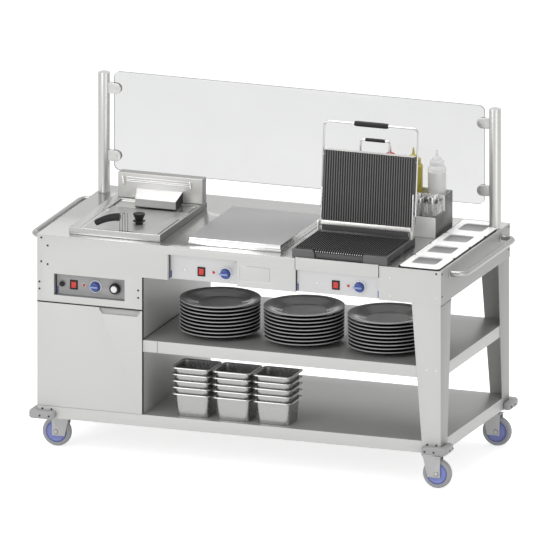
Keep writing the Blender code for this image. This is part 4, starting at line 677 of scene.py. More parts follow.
def turned(name: str, profile: Pairs, place: Matrix, steps: int = 48, angle: float = 30.0) -> Any:
    """Model a profile by extruding a point, then spin it round the place's Z axis.

    Args:
        name: The piece's name.
        profile: Points of radius and height.
        place: The axis frame.
        steps: The number of steps round.
        angle: Edges sharper than this stay sharp.

    Returns:
        The object.
    """
    deselect()
    bpy.ops.mesh.primitive_plane_add(size=0.0002)
    obj = bpy.context.object
    with editing():
        bpy.ops.mesh.merge(type="CENTER")
        bpy.ops.transform.translate(value=(profile[0][0], 0, profile[0][1]))
        for (radius, height), (next_radius, next_height) in zip(profile, profile[1:]):
            step = (next_radius - radius, 0, next_height - height)
            bpy.ops.mesh.extrude_vertices_move(TRANSFORM_OT_translate={"value": step})
        bpy.ops.mesh.select_all(action="SELECT")
        bpy.ops.mesh.spin(steps=steps, angle=math.tau, center=(0, 0, 0), axis=(0, 0, 1))
        bpy.ops.mesh.select_all(action="SELECT")
        bpy.ops.mesh.remove_doubles(threshold=WELD)
        bpy.ops.mesh.normals_make_consistent(inside=False)
    obj.matrix_world = place
    return smooth(settle(name), angle)


def bent(points: Sequence[Point], bend: float, steps: int = 8) -> list[Vector]:
    """Round each corner of a path.

    Args:
        points: The path's ends and corners.
        bend: The bend radius.
        steps: The number of steps round a corner.

    Returns:
        The path.
    """
    corners = [Vector(point) for point in points]
    path = [corners[0]]
    for before, corner, after in zip(corners, corners[1:], corners[2:]):
        into, out = (before - corner).normalized(), (after - corner).normalized()
        half = into.angle(out) / 2
        reach = bend / math.tan(half)
        centre = corner + (into + out).normalized() * (bend / math.sin(half))
        start, end = corner + into * reach - centre, corner + out * reach - centre
        sweep = start.angle(end)
        for step in range(steps + 1):
            share = step / steps
            arm = math.sin((1 - share) * sweep) * start + math.sin(share * sweep) * end
            path.append(centre + arm / math.sin(sweep))
    path.append(corners[-1])
    return path


def swept(name: str, points: Sequence[Point], radius: float,
          swell: Optional[Sequence[float]] = None, rings: int = 5) -> Any:
    """Model a round bar along a path.

    Args:
        name: The piece's name.
        points: The path.
        radius: The bar's radius.
        swell: Each point's share of the radius.
        rings: The curve's bevel resolution.

    Returns:
        The object as a mesh.
    """
    deselect()
    curve = bpy.data.curves.new(name, "CURVE")
    curve.dimensions = "3D"
    curve.bevel_depth = radius
    curve.bevel_resolution = rings
    curve.use_fill_caps = True
    spline = curve.splines.new("POLY")
    spline.points.add(len(points) - 1)
    for index, point in enumerate(points):
        spline.points[index].co = (*point, 1.0)
        spline.points[index].radius = swell[index] if swell else 1.0
    obj = bpy.data.objects.new(name, curve)
    bpy.context.scene.collection.objects.link(obj)
    select_only(obj)
    bpy.ops.object.convert(target="MESH")
    with editing():
        bpy.ops.mesh.remove_doubles(threshold=WELD)
        bpy.ops.mesh.normals_make_consistent(inside=False)
    return smooth(settle(name), 50.0)


def refined(name: str, node: str, edge: float, segments: int = 2, angle: float = 30.0) -> Any:
    """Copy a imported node's mesh, merge its faces and round its edges.

    Args:
        name: The piece's name.
        node: The node that is copied.
        edge: The bevel's width.
        segments: The bevel's segments.
        angle: Edges sharper than this are rounded.

    Returns:
        The object.
    """
    deselect()
    obj = frame["nodes"][node].copy()
    obj.data = obj.data.copy()
    obj.parent = None
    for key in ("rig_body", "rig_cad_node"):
        if key in obj:
            del obj[key]
    obj.matrix_world = Matrix.Identity(4)
    bpy.context.scene.collection.objects.link(obj)
    obj.data.materials.clear()
    select_only(obj)
    with editing():
        bpy.ops.mesh.remove_doubles(threshold=2 * WELD)
        bpy.ops.mesh.customdata_custom_splitnormals_clear()
        bpy.ops.mesh.dissolve_limited(angle_limit=math.radians(0.6))
    return soften(settle(name), edge, segments, angle)


def fused(name: str, pieces: Iterable[Any]) -> Any:
    """Join several objects into one piece.

    Args:
        name: The piece's name.
        pieces: The objects.

    Returns:
        The joined object.
    """
    members = list(pieces)
    deselect()
    for member in members:
        member.select_set(True)
    bpy.context.view_layer.objects.active = members[0]
    bpy.ops.object.join()
    return settle(name)


def copied(obj: Any, name: str, shift: Point, turn: float = 0.0) -> Any:
    """Copy a piece with a mesh of its own, turn it about Z and move it.

    Args:
        obj: The piece that is copied.
        name: The copy's name.
        shift: How far it is moved.
        turn: The angle that it is turned by first, in radians.

    Returns:
        The copy.
    """
    twin = obj.copy()
    twin.data = obj.data.copy()
    bpy.context.scene.collection.objects.link(twin)
    select_only(twin)
    twin.matrix_world = Matrix.Translation(shift) @ Matrix.Rotation(turn, 4, "Z")
    return settle(name)


def dress(piece: Any, look: Look, slot: str, *nodes: str, body: str = "trolley") -> Any:
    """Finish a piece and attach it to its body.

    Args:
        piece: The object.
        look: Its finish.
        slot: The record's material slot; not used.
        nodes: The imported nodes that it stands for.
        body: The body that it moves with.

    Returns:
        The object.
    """
    piece.data.materials.clear()
    piece.data.materials.append(look.material())
    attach(piece, body)
    if nodes:
        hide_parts(*nodes)
    LOG.info("%s rides on %s with %s", piece.name, body, look.name)
    return piece


def repaint(piece: Any, look: Look, picks: Callable[[Any], bool]) -> None:
    """Give some faces of a piece a finish of their own.

    Args:
        piece: The object.
        look: The finish.
        picks: Tells whether a face takes it.
    """
    piece.data.materials.append(look.material())
    last = len(piece.data.materials) - 1
    for face in piece.data.polygons:
        if picks(face):
            face.material_index = last


def rounded(half_x: float, half_y: float, radius: float, steps: int = 6) -> list[Pair]:
    """Draw a rectangle with round corners.

    Args:
        half_x: Half its length in X.
        half_y: Half its length in Y.
        radius: The corners' radius.
        steps: The number of steps round a corner.

    Returns:
        The outline.
    """
    points = []
    for quarter, (sign_x, sign_y) in enumerate(((1, 1), (-1, 1), (-1, -1), (1, -1))):
        for step in range(steps + 1):
            angle = (quarter + step / steps) * math.pi / 2
            points.append((sign_x * (half_x - radius) + radius * math.cos(angle),
                           sign_y * (half_y - radius) + radius * math.sin(angle)))
    return points


def screw(place: Point, out: Point, radius: float = 0.0045) -> Any:
    """Build one dome-headed screw with a hexagon socket.

    Args:
        place: A point of the face that it sits on.
        out: The direction that it faces.
        radius: The head's radius.

    Returns:
        The object.
    """
    profile = [(share * radius, level * radius) for share, level in
               ((0.0, 0.15), (0.35, 0.15), (0.4, 0.5), (0.75, 0.42), (1.0, 0.1), (1.0, -0.2),
                (0.0, -0.2))]
    return turned("screw_head", profile, facing(place, out), 14)


@dataclass
class Bodywork:
    """Worktop, apron, legs, shelves, cupboard and their screws."""

    edge: float = 0.0006
    door_edge: float = 0.0012
    recess_depth: float = 0.004
    recess_height: float = 0.032
    # Sizes of the black strips that paint the shadow in the door's gaps.
    gap_shadow_edge: float = 0.0002
    gap_shadow_rise: float = 0.145
    front_screws: Pairs = (
        (-0.869, 0.926), (-0.869, 0.824), (-0.841, 0.894), (-0.841, 0.8145), (-0.877, 0.737),
        (-0.877, 0.707), (-0.443, 0.738), (-0.443, 0.7065), (0.8665, 0.928))
    end_screws: Pairs = ((-0.404, 0.926), (-0.404, 0.829), (0.404, 0.926), (0.404, 0.829))
    bracket_screws: Point = (0.826, 0.866)
    bracket_level: float = 0.1945
    rivets: Pairs = ((0.663, 0.893), (0.663, 0.816), (0.8655, 0.822))
    leg_rivets: Point = (0.8244, 0.864)
    leg_rivet_level: float = 0.513
    rivet_radius: float = 0.0036
    end_seam: Point = (-0.277, 0.7883, 0.7896)
    shelf_joint: Pair = (-0.3616, -0.3602)

    def build(self) -> None:
        """Build every piece of the bodywork."""
        plain = (("worktop_sheet", "worktop", Look.TOP_STEEL, "satin_steel"),
                 ("apron_sheet", "apron", Look.FRONT_STEEL, "pale_steel"),
                 ("front_leg", "leg_front_right", Look.FRONT_STEEL, "pale_steel"),
                 ("rear_leg", "leg_rear_right", Look.FRONT_STEEL, "pale_steel"),
                 ("cupboard_walls", "cupboard_shell", Look.CUPBOARD_STEEL, "satin_steel"))
        for name, node, look, slot in plain:
            piece = dress(refined(name, node, self.edge), look, slot, node)
            # Painted shade: faces towards the right end take a darker copy of the front steel.
            if look is Look.FRONT_STEEL:
                repaint(piece, Look.END_SHADE, lambda face: face.normal.x > 0.8)
        door = dress(refined("door_leaf", "cupboard_door", self.door_edge), Look.FRONT_STEEL,
                     "pale_steel", "cupboard_door", body="door")
        low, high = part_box("cupboard_door")
        # Painted shade: the grip recess's inner faces take a darker copy of the front steel.
        repaint(door, Look.RECESS_SHADE, lambda face: face.center.y > low.y + self.recess_depth
                and face.center.z > high.z - self.recess_height and face.normal.y < -0.3)
        self.build_gap_shadows(low, high)
        for name, node in (("upper_shelf", "mid_shelf"), ("lower_shelf", "bottom_shelf")):
            # The decks take a darker steel than the lips: partly painted shade under the worktop.
            shelf = dress(refined(name, node, self.edge), Look.SHELF_STEEL, "satin_steel", node)
            repaint(shelf, Look.FRONT_STEEL, lambda face: abs(face.normal.z) < 0.5)
        self.build_seam_shadows()
        self.build_screws()

    def build_gap_shadows(self, low: Vector, high: Vector) -> None:
        """Build dark strips that paint the shadow in the gaps: above the door, at its free edge and
        up the edge above it.

        Args:
            low: The lowest corner of the door's box.
            high: Its highest corner.
        """
        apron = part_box("apron")[0]
        # Painted shadow: black strips stand in for the shade in the gaps round the door.
        strip = block("top_gap_shadow", (low.x + 0.001, apron.y - 0.0004, high.z + 0.0003),
                      (high.x, low.y + 0.004, high.z + 0.0056), self.gap_shadow_edge, 1)
        edge = block("edge_gap_shadow", (high.x - 0.0012, low.y + 0.0006, high.z + 0.003),
                     (high.x + 0.0002, high.y, apron.z + self.gap_shadow_rise), self.gap_shadow_edge, 1)
        dress(fused("door_frame_gap_shadow", [strip, edge]), Look.SHADOW, "black_plastic")
        # A black strip at the door's free edge: painted shadow in the gap.
        free = block("door_edge_gap_shadow", (high.x - 0.0008, low.y + 0.0008, low.z + 0.001),
                     (high.x + 0.0003, high.y, high.z - 0.0005), self.gap_shadow_edge, 1)
        dress(free, Look.SHADOW, "black_plastic", body="door")

    def build_seam_shadows(self) -> None:
        """Build dark strips that paint the shadow in the seams by the cupboard, on the end and in
        the middle shelf's lip.
        """
        low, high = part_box("mid_shelf")
        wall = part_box("cupboard_shell")[1].x
        apron_low, apron_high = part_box("apron")
        rear, foot, head = self.end_seam
        left, right = self.shelf_joint
        for name, start, end, look in (
                ("shelf_seam", (wall, low.y + 0.004, high.z),
                 (wall + 0.002, high.y - 0.02, high.z + 0.002), Look.SHADOW),
                ("end_seam", (apron_high.x - 0.001, apron_low.y + 0.0006, foot),
                 (apron_high.x + 0.0003, rear, head), Look.SHADE_AND_WASHER_GREY),
                ("shelf_joint", (left, low.y - 0.0005, low.z + 0.001),
                 (right, low.y + 0.001, high.z - 0.001), Look.SHADOW)):
            dress(block(name, start, end), look, "black_plastic")

    def build_screws(self) -> None:
        """Build the dome-headed screws of the apron, the end and the bumpers' brackets."""
        front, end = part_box("apron")[0].y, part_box("apron")[1].x
        leg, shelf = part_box("leg_front_right")[0].y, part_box("bottom_shelf")[0].y
        ahead = (0, -1, 0)
        heads = [screw((x, front, z), ahead) for x, z in self.front_screws]
        heads += [screw((end, y, z), (1, 0, 0)) for y, z in self.end_screws]
        for x in self.bracket_screws:
            heads += [screw((-x, shelf, self.bracket_level), ahead),
                      screw((x, leg, self.bracket_level), ahead)]
        dress(fused("body_screws", heads), Look.SCREW, "black_plastic")
        # The polished rivet heads are coloured white: a painted highlight.
        bright = [screw((x, front, z), ahead, self.rivet_radius) for x, z in self.rivets]
        bright += [screw((x, leg, self.leg_rivet_level), ahead, self.rivet_radius)
                   for x in self.leg_rivets]
        dress(fused("apron_rivets", bright), Look.WHITE, "polished_steel")


@dataclass
class RunningGear:
    """Casters and corner bumpers."""

    wheel_radius: float = 0.0625
    half_width: float = 0.015
    tyre_bead: float = 0.0165
    tyre_shoulder: float = 0.0075
    tyre_crown: float = 0.0062
    fork_reach: float = 0.005
    nut: Point = (0.0028, 0.0076, 0.0012)
    washer: Point = (0.0008, 0.01, 0.0003)
    bumper_edge: float = 0.011
    bumper_screws: Point = (0.052, 0.092)
    corners: tuple[str, ...] = ("front_right", "rear_right", "front_left", "rear_left")

    def build(self) -> None:
        """Build each corner's caster and bumper."""
        for corner in self.corners:
            self.build_wheel(corner)
            self.build_fork(corner)
            self.build_bumper(corner)

    def build_wheel(self, corner: str) -> None:
        """Build one wheel: tyre, hub disc and the darker ring between them.

        Args:
            corner: The trolley's corner.
        """
        node = "caster_wheel_" + corner
        place = Matrix.Translation(middle(node)) @ TOWARDS_FRONT
        half, crown, rim = self.half_width, self.tyre_crown, self.wheel_radius
        bead, shoulder = (rim - self.tyre_bead, half - 0.0012), rim - self.tyre_shoulder
        tread = [bead, (shoulder, half)]
        for step in range(13):
            angle = math.pi * (0.5 - step / 12)
            tread.append((rim - crown + crown * math.cos(angle), half * math.sin(angle)))
        tread += [(shoulder, -half), (bead[0], -bead[1]), (bead[0] - 0.004, 0.0), bead]
        face = [(0.0068, half - 0.001), (0.012, half - 0.001), (0.0145, half - 0.0035),
                (0.033, half - 0.0045), (0.037, half - 0.0022), (0.0405, half - 0.0018)]
        disc = face + [(radius, -height) for radius, height in reversed(face)] + face[:1]
        side = [(0.0408, half - 0.003), (0.0425, half - 0.0012), (0.0455, half - 0.0014)]
        ring = side + [(radius, -height) for radius, height in reversed(side)] + side[:1]
        for name, profile, look, slot, nodes in (
                ("tyre_", tread, Look.TYRE, "grey_rubber", (node,)),
                ("hub_", disc, Look.HUB, "blue_plastic", ()),
                ("hub_ring_", ring, Look.HUB_RING, "blue_plastic", ())):
            piece = turned(name + corner, profile, place, FINE)
            dress(piece, look, slot, *nodes, body="wheel_" + corner)

    def build_fork(self, corner: str) -> None:
        """Build one fork with its swivel race, axle nuts and washers.

        Args:
            corner: The trolley's corner.
        """
        node = "caster_fork_" + corner
        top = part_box(node)[1].z
        hub = middle("caster_wheel_" + corner)
        fork = refined("fork_" + corner, node, 0.0009, 2, 25.0)
        nuts, washers = [], []
        for sign in (-1, 1):
            seat = hub.y + sign * (self.half_width + self.fork_reach)
            inner = (hub.x, seat - sign * 0.0005, hub.z)
            for heap, (depth, radius, edge), sides in ((nuts, self.nut, 24),
                                                       (washers, self.washer, 32)):
                heap.append(rod("ring", inner, (hub.x, seat + sign * depth, hub.z), radius,
                                edge, sides))
        swivel_x = sum(joint["pos_m"][0] for joint in frame["joints"]
                       if joint["name"] == "swivel_" + corner)
        profile = [(radius, top - drop) for radius, drop in
                   ((0.03, 0.0005), (0.0375, 0.0015), (0.0385, 0.006), (0.0365, 0.0105),
                    (0.03, 0.012), (0.03, 0.0005))]
        race = turned("race", profile, Matrix.Translation((swivel_x, hub.y, 0.0)))
        body = "caster_" + corner
        dress(fused("fork_" + corner, [fork, race]), Look.ZINC, "polished_steel", node, body=body)
        dress(fused("axle_washers_" + corner, washers), Look.SHADE_AND_WASHER_GREY, "polished_steel", body=body)
        dress(fused("axle_bolts_" + corner, nuts), Look.BAR_STEEL, "polished_steel", body=body)

    def build_bumper(self, corner: str) -> None:
        """Build one corner bumper with rounded runs, and its screws.

        Args:
            corner: The trolley's corner.
        """
        node = "bumper_" + corner
        dress(refined("corner_" + node, node, self.bumper_edge, 5, 40.0), Look.BUMPER,
              "grey_rubber", node)
        low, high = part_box(node)
        side_x, outer_x = (1, high.x) if low.x > 0 else (-1, low.x)
        side_y, outer_y = (1, high.y) if low.y > 0 else (-1, low.y)
        level = (low.z + high.z) / 2 - 0.003
        heads = []
        for reach in self.bumper_screws:
            heads += [screw((outer_x - side_x * reach, outer_y, level), (0, side_y, 0)),
                      screw((outer_x, outer_y - side_y * reach, level), (side_x, 0, 0))]
        dress(fused("bumper_screws_" + corner, heads), Look.SCREW, "black_plastic")


@dataclass
class Ends:
    """Push handles with their flanges."""

    radius: float = 0.0125
    bend: float = 0.045
    collar: Pairs = (
        (0.0126, 0.0), (0.0185, 0.0), (0.0185, 0.0022), (0.0165, 0.004), (0.0126, 0.004),
        (0.0126, 0.0))

    def build(self) -> None:
        """Build both handles."""
        for side in ("left", "right"):
            node = "push_handle_" + side
            low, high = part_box(node)
            sign, wall, end = (1, low.x, high.x) if low.x > 0 else (-1, high.x, low.x)
            outer = end - sign * self.radius
            near, far = low.y + self.radius, high.y - self.radius
            level = (low.z + high.z) / 2
            corners = [(wall, near, level), (outer, near, level), (outer, far, level),
                       (wall, far, level)]
            bar = swept("handle_bar_" + side, bent(corners, self.bend, 12), self.radius, rings=7)
            collars = [turned("collar", self.collar, facing((wall, y, level), (sign, 0, 0)), 40)
                       for y in (near, far)]
            dress(fused("push_bar_" + side, [bar, *collars]), Look.BAR_GREY, "polished_steel", node)


@dataclass
class Screen:
    """Glass sheet and its two posts with clamps."""

    corner: float = 0.026
    clamp_levels: Pair = (1.098, 1.386)
    clamp_half: float = 0.0225
    clamp_reach: float = 0.052
    screw_reach: float = 0.058
    screw_drop: float = 0.0112
    neck_half: float = 0.006
    jaw: float = 0.00664
    jaw_shift: float = 0.00768

    def build(self) -> None:
        """Build the screen."""
        for side in ("left", "right"):
            self.build_post(side)
        low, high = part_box("glass_screen")
        corners = rounded((high.x - low.x) / 2, (high.z - low.z) / 2, self.corner, 10)
        sheet = outline("glass_sheet", corners, high.y - low.y,
                        facing_front(*middle("glass_screen")), 0.0012)
        dress(sheet, Look.GLASS, "glass", "glass_screen")
        repaint(sheet, Look.GLASS_EDGE, lambda face: abs(face.normal.y) < 0.9)

    def build_post(self, side: str) -> None:
        """Build one post: a tube with two clamps and their screws.

        Args:
            side: The post's end of the screen.
        """
        node = "screen_post_" + side
        low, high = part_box(node)
        radius, height = (high.y - low.y) / 2, high.z - low.z
        sign = 1 if low.x > 0 else -1
        x = (high.x - radius) if sign > 0 else (low.x + radius)
        y = (low.y + high.y) / 2
        profile = [(0.0, height), (radius - 0.003, height), (radius - 0.0008, height - 0.0008),
                   (radius, height - 0.003), (radius, 0.0), (0.0, 0.0)]
        parts = [turned("tube", profile, Matrix.Translation((x, y, low.z)), FINE)]
        parts += [self.build_clamp(sign, x, y, level, radius) for level in self.clamp_levels]
        dress(fused("post_" + side, parts), Look.POST_STEEL, "satin_steel", node)
        head = [(0.0, 0.0004), (0.0022, 0.0004), (0.0026, 0.0014), (0.005, 0.001), (0.0054, 0.0),
                (0.0, -0.0006)]
        heads = [turned("clamp_screw", head, facing_front(x - sign * self.screw_reach,
                                                          y - self.screw_drop, level), 20)
                 for level in self.clamp_levels]
        dress(fused("clamp_screws_" + side, heads), Look.POST_STEEL, "polished_steel")

    def build_clamp(self, sign: int, x: float, y: float, level: float, radius: float) -> Any:
        """Build one clamp: two jaws either side of the glass and the neck to the post.

        Args:
            sign: 1 at the right post and -1 at the left one.
            x: The post's middle in X.
            y: The post's middle in Y.
            level: The clamp's height.
            radius: The post's radius.

        Returns:
            The object.
        """
        half = self.clamp_half
        tip = x - sign * (radius + self.clamp_reach)
        start = x - sign * (radius - 0.004)
        points = [(start, -half)]
        for step in range(17):
            angle = math.pi * (step / 16 - 0.5)
            points.append((tip + sign * (half - half * math.cos(angle)), half * math.sin(angle)))
        points.append((start, half))
        jaws = [outline("jaw", points, self.jaw, facing_front(0, y + shift, level), 0.0014, 3)
                for shift in (-self.jaw_shift, self.jaw_shift)]
        neck_end = sign * (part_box("glass_screen")[1].x + 0.0006)
        deep, tall = self.neck_half, half - 0.001
        neck = block("neck", (min(start, neck_end), y - deep, level - tall),
                     (max(start, neck_end), y + deep, level + tall))
        return fused("clamp", [*jaws, neck])


@dataclass
class ControlRow:
    """One unit's control panel and what stands on it."""

    unit: str
    face_y: float
    lamp_x: float
    dot_x: Optional[float] = None
    rim: float = 0.0057
    bar_x: Pair = (-0.0225, 0.0145)
    bar_y: Pair = (-0.0202, -0.0158)
    bar_half: float = 0.0033
    ticks: int = 9
    tick_radius: float = 0.0282
    tick_lengths: Pair = (0.0048, 0.0036)
    tick_half: float = 0.0004
    trim_size: Pair = (0.005, 0.03)
    dome: Pairs = (
        (0.0, 0.0052), (0.0024, 0.005), (0.0046, 0.004), (0.0059, 0.0022), (0.0062, 0.0),
        (0.0, 0.0))
    collar: Pairs = (
        (0.0063, 0.0), (0.0063, 0.0016), (0.0072, 0.0014), (0.0076, 0.0), (0.0063, 0.0))
    knob: Pairs = (
        (0.0, 0.0165), (0.0155, 0.0165), (0.0172, 0.0158), (0.018, 0.014), (0.0186, 0.0045),
        (0.0186, 0.0032), (0.004, 0.0032), (0.004, -0.012), (0.0, -0.012))
    skirt: Pairs = (
        (0.0187, 0.0008), (0.0187, 0.0042), (0.0212, 0.0036), (0.0226, 0.0022), (0.0226, 0.0008),
        (0.0187, 0.0008))
    dial: Pairs = (
        (0.0232, 0.0001), (0.0232, 0.0012), (0.0258, 0.0009), (0.0262, 0.0001), (0.0232, 0.0001))

    def build(self) -> None:
        """Build the panel, its rocker, lamp, dial and knob."""
        look = Look.PANEL_DARK if self.unit == "fryer" else Look.PANEL_STEEL
        panel = self.unit + "_panel"
        dress(refined(self.unit + "_fascia", panel, 0.0005), look, "satin_steel", panel)
        self.build_rocker()
        self.build_knob()
        self.build_lamp()
        self.build_trim(*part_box(panel))

    def build_rocker(self) -> None:
        """Build the lit rocker and the frame round it."""
        node = self.unit + "_switch"
        low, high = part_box(node)
        lens = refined(self.unit + "_rocker_lens", node, 0.0012, 3, 20.0)
        dress(lens, Look.LENS, "red_lens", node, body=self.unit + "_rocker")
        rim, face = self.rim, self.face_y
        outer = block(self.unit + "_rocker_frame", (low.x - rim, face - 0.0042, low.z - rim),
                      (high.x + rim, face + 0.0005, high.z + rim), 0.001)
        hole = block("hole", (low.x - 0.0005, face - 0.02, low.z - 0.0005),
                     (high.x + 0.0005, face + 0.02, high.z + 0.0005))
        dress(smooth(cut(outer, hole)), Look.BLACK, "black_plastic")

    def build_knob(self) -> None:
        """Build the knob's blue body, its pale bar, the ring and the dial's marks."""
        node, body, face = self.unit + "_knob", self.unit + "_thermostat", self.face_y
        spot = middle(node)
        place = facing_front(spot.x, face, spot.z)
        for name, profile, look, rides, slot, nodes in (
                ("_knob_body", self.knob, Look.BLUE, body, "blue_plastic", (node,)),
                ("_knob_skirt", self.skirt, Look.BLUE, body, "blue_plastic", ()),
                ("_dial_ring", self.dial, Look.WHITE, "trolley", "white_plastic", ())):
            dress(turned(self.unit + name, profile, place, SMOOTH), look, slot, *nodes, body=rides)
        (left, right), (outer, inner), half = self.bar_x, self.bar_y, self.bar_half
        start, top = (spot.x + left, face + outer, spot.z - half), spot.z + half
        bar = block("bar", start, (spot.x + right, face + inner, top), 0.0014, 3)
        nose = block("nose", start, (spot.x + left + 0.0043, face - 0.004, top), 0.0012, 2)
        dress(fused(self.unit + "_knob_pointer", [bar, nose]), Look.POINTER,
              "white_plastic", body=body)
        ticks = [self.build_tick(spot, index) for index in range(self.ticks)]
        dress(fused(self.unit + "_dial_marks", ticks), Look.SCREW, "black_plastic")

    def build_tick(self, spot: Vector, index: int) -> Any:
        """Build one printed mark of the dial as a thin slab.

        Args:
            spot: The knob's middle.
            index: The mark's number, from 0; even ones are longer.

        Returns:
            The object.
        """
        angle = math.radians(-120 + index * 30)
        length, half = self.tick_lengths[index % 2], self.tick_half
        reach = self.tick_radius + length / 2
        centre = (spot.x + reach * math.cos(angle), self.face_y - 0.0001,
                  spot.z + reach * math.sin(angle))
        place = Matrix.Translation(centre) @ Matrix.Rotation(-angle, 4, "Y") @ TOWARDS_FRONT
        return outline("tick", rounded(length / 2, half, half * 0.9, 2), 0.0003, place)

    def build_lamp(self) -> None:
        """Build the pilot lamp, its collar and the small pale indicator."""
        level = middle(self.unit + "_knob").z + 0.0015
        for name, profile, x, look, slot in (
                ("_pilot_lens", self.dome, self.lamp_x, Look.LENS, "red_lens"),
                ("_pilot_collar", self.collar, self.lamp_x, Look.WHITE, "white_plastic"),
                ("_indicator", self.dome, self.dot_x, Look.WHITE, "white_plastic")):
            if x is not None:
                place = facing_front(x, self.face_y, level)
                dress(turned(self.unit + name, profile, place, 28), look, slot)

    def build_trim(self, low: Vector, high: Vector) -> None:
        """Build two plain blue bars at the ends of the panel, and a black strip that paints the
        shade at its folded left edge.

        Args:
            low: The lowest corner of the panel's box.
            high: Its highest corner.
        """
        face, bottom, (width, height) = self.face_y, low.z + 0.004, self.trim_size
        bars = [block("bar", (x, face - 0.0005, bottom),
                      (x + width, face + 0.0002, bottom + height), 0.0001, 1)
                for x in (low.x + 0.006, high.x - 0.011)]
        dress(fused(self.unit + "_bars", bars), Look.BLUE_TRIM, "blue_plastic")
        # Painted shade at the folded left edge.
        fold = block(self.unit + "_fold", (low.x + 0.0024, face - 0.01, low.z + 0.003),
                     (low.x + 0.004, face + 0.0004, high.z - 0.003))
        dress(fold, Look.SHADOW, "dark_steel")


@dataclass
class Controls:
    """The three control panels and the fryer's own buttons."""

    recess_face: float = -0.3865
    grill_face: float = -0.4015
    reset_cap: Pairs = (
        (0.0, 0.0095), (0.005, 0.0098), (0.0085, 0.0108), (0.0098, 0.0104), (0.0105, 0.009),
        (0.0105, 0.0055), (0.0052, 0.0055), (0.0052, -0.011), (0.0, -0.011))
    drain_grip: Pairs = (
        (0.0, 0.018), (0.0172, 0.018), (0.0205, 0.0165), (0.0225, 0.012), (0.0225, 0.0012),
        (0.004, 0.0012), (0.004, -0.012), (0.0, -0.012))
    drain_cap: Pairs = (
        (0.0, 0.0221), (0.0095, 0.0218), (0.0125, 0.0208), (0.0138, 0.019), (0.0138, 0.0176),
        (0.0, 0.0176))

    def build(self) -> None:
        """Build the panels, the dished reset button and the drain knob with its pale cap."""
        for row in (ControlRow("fryer", self.recess_face, -0.692),
                    ControlRow("hot_plate", self.recess_face, -0.1217, -0.248),
                    ControlRow("grill", self.grill_face, 0.4754, 0.339)):
            row.build()
        for name, profile, steps, look, body, slot, node, nodes in (
                ("reset_cap", self.reset_cap, 40, Look.BLACK, "reset_button", "black_plastic",
                 "fryer_reset_button", ("fryer_reset_button",)),
                ("drain_grip", self.drain_grip, SMOOTH, Look.BLACK, "drain_knob", "black_plastic",
                 "fryer_drain_knob", ("fryer_drain_knob",)),
                ("drain_cap", self.drain_cap, 48, Look.WHITE, "drain_knob", "white_plastic",
                 "fryer_drain_knob", ())):
            spot = middle(node)
            piece = turned(name, profile, facing_front(spot.x, self.recess_face, spot.z), steps)
            dress(piece, look, slot, *nodes, body=body)


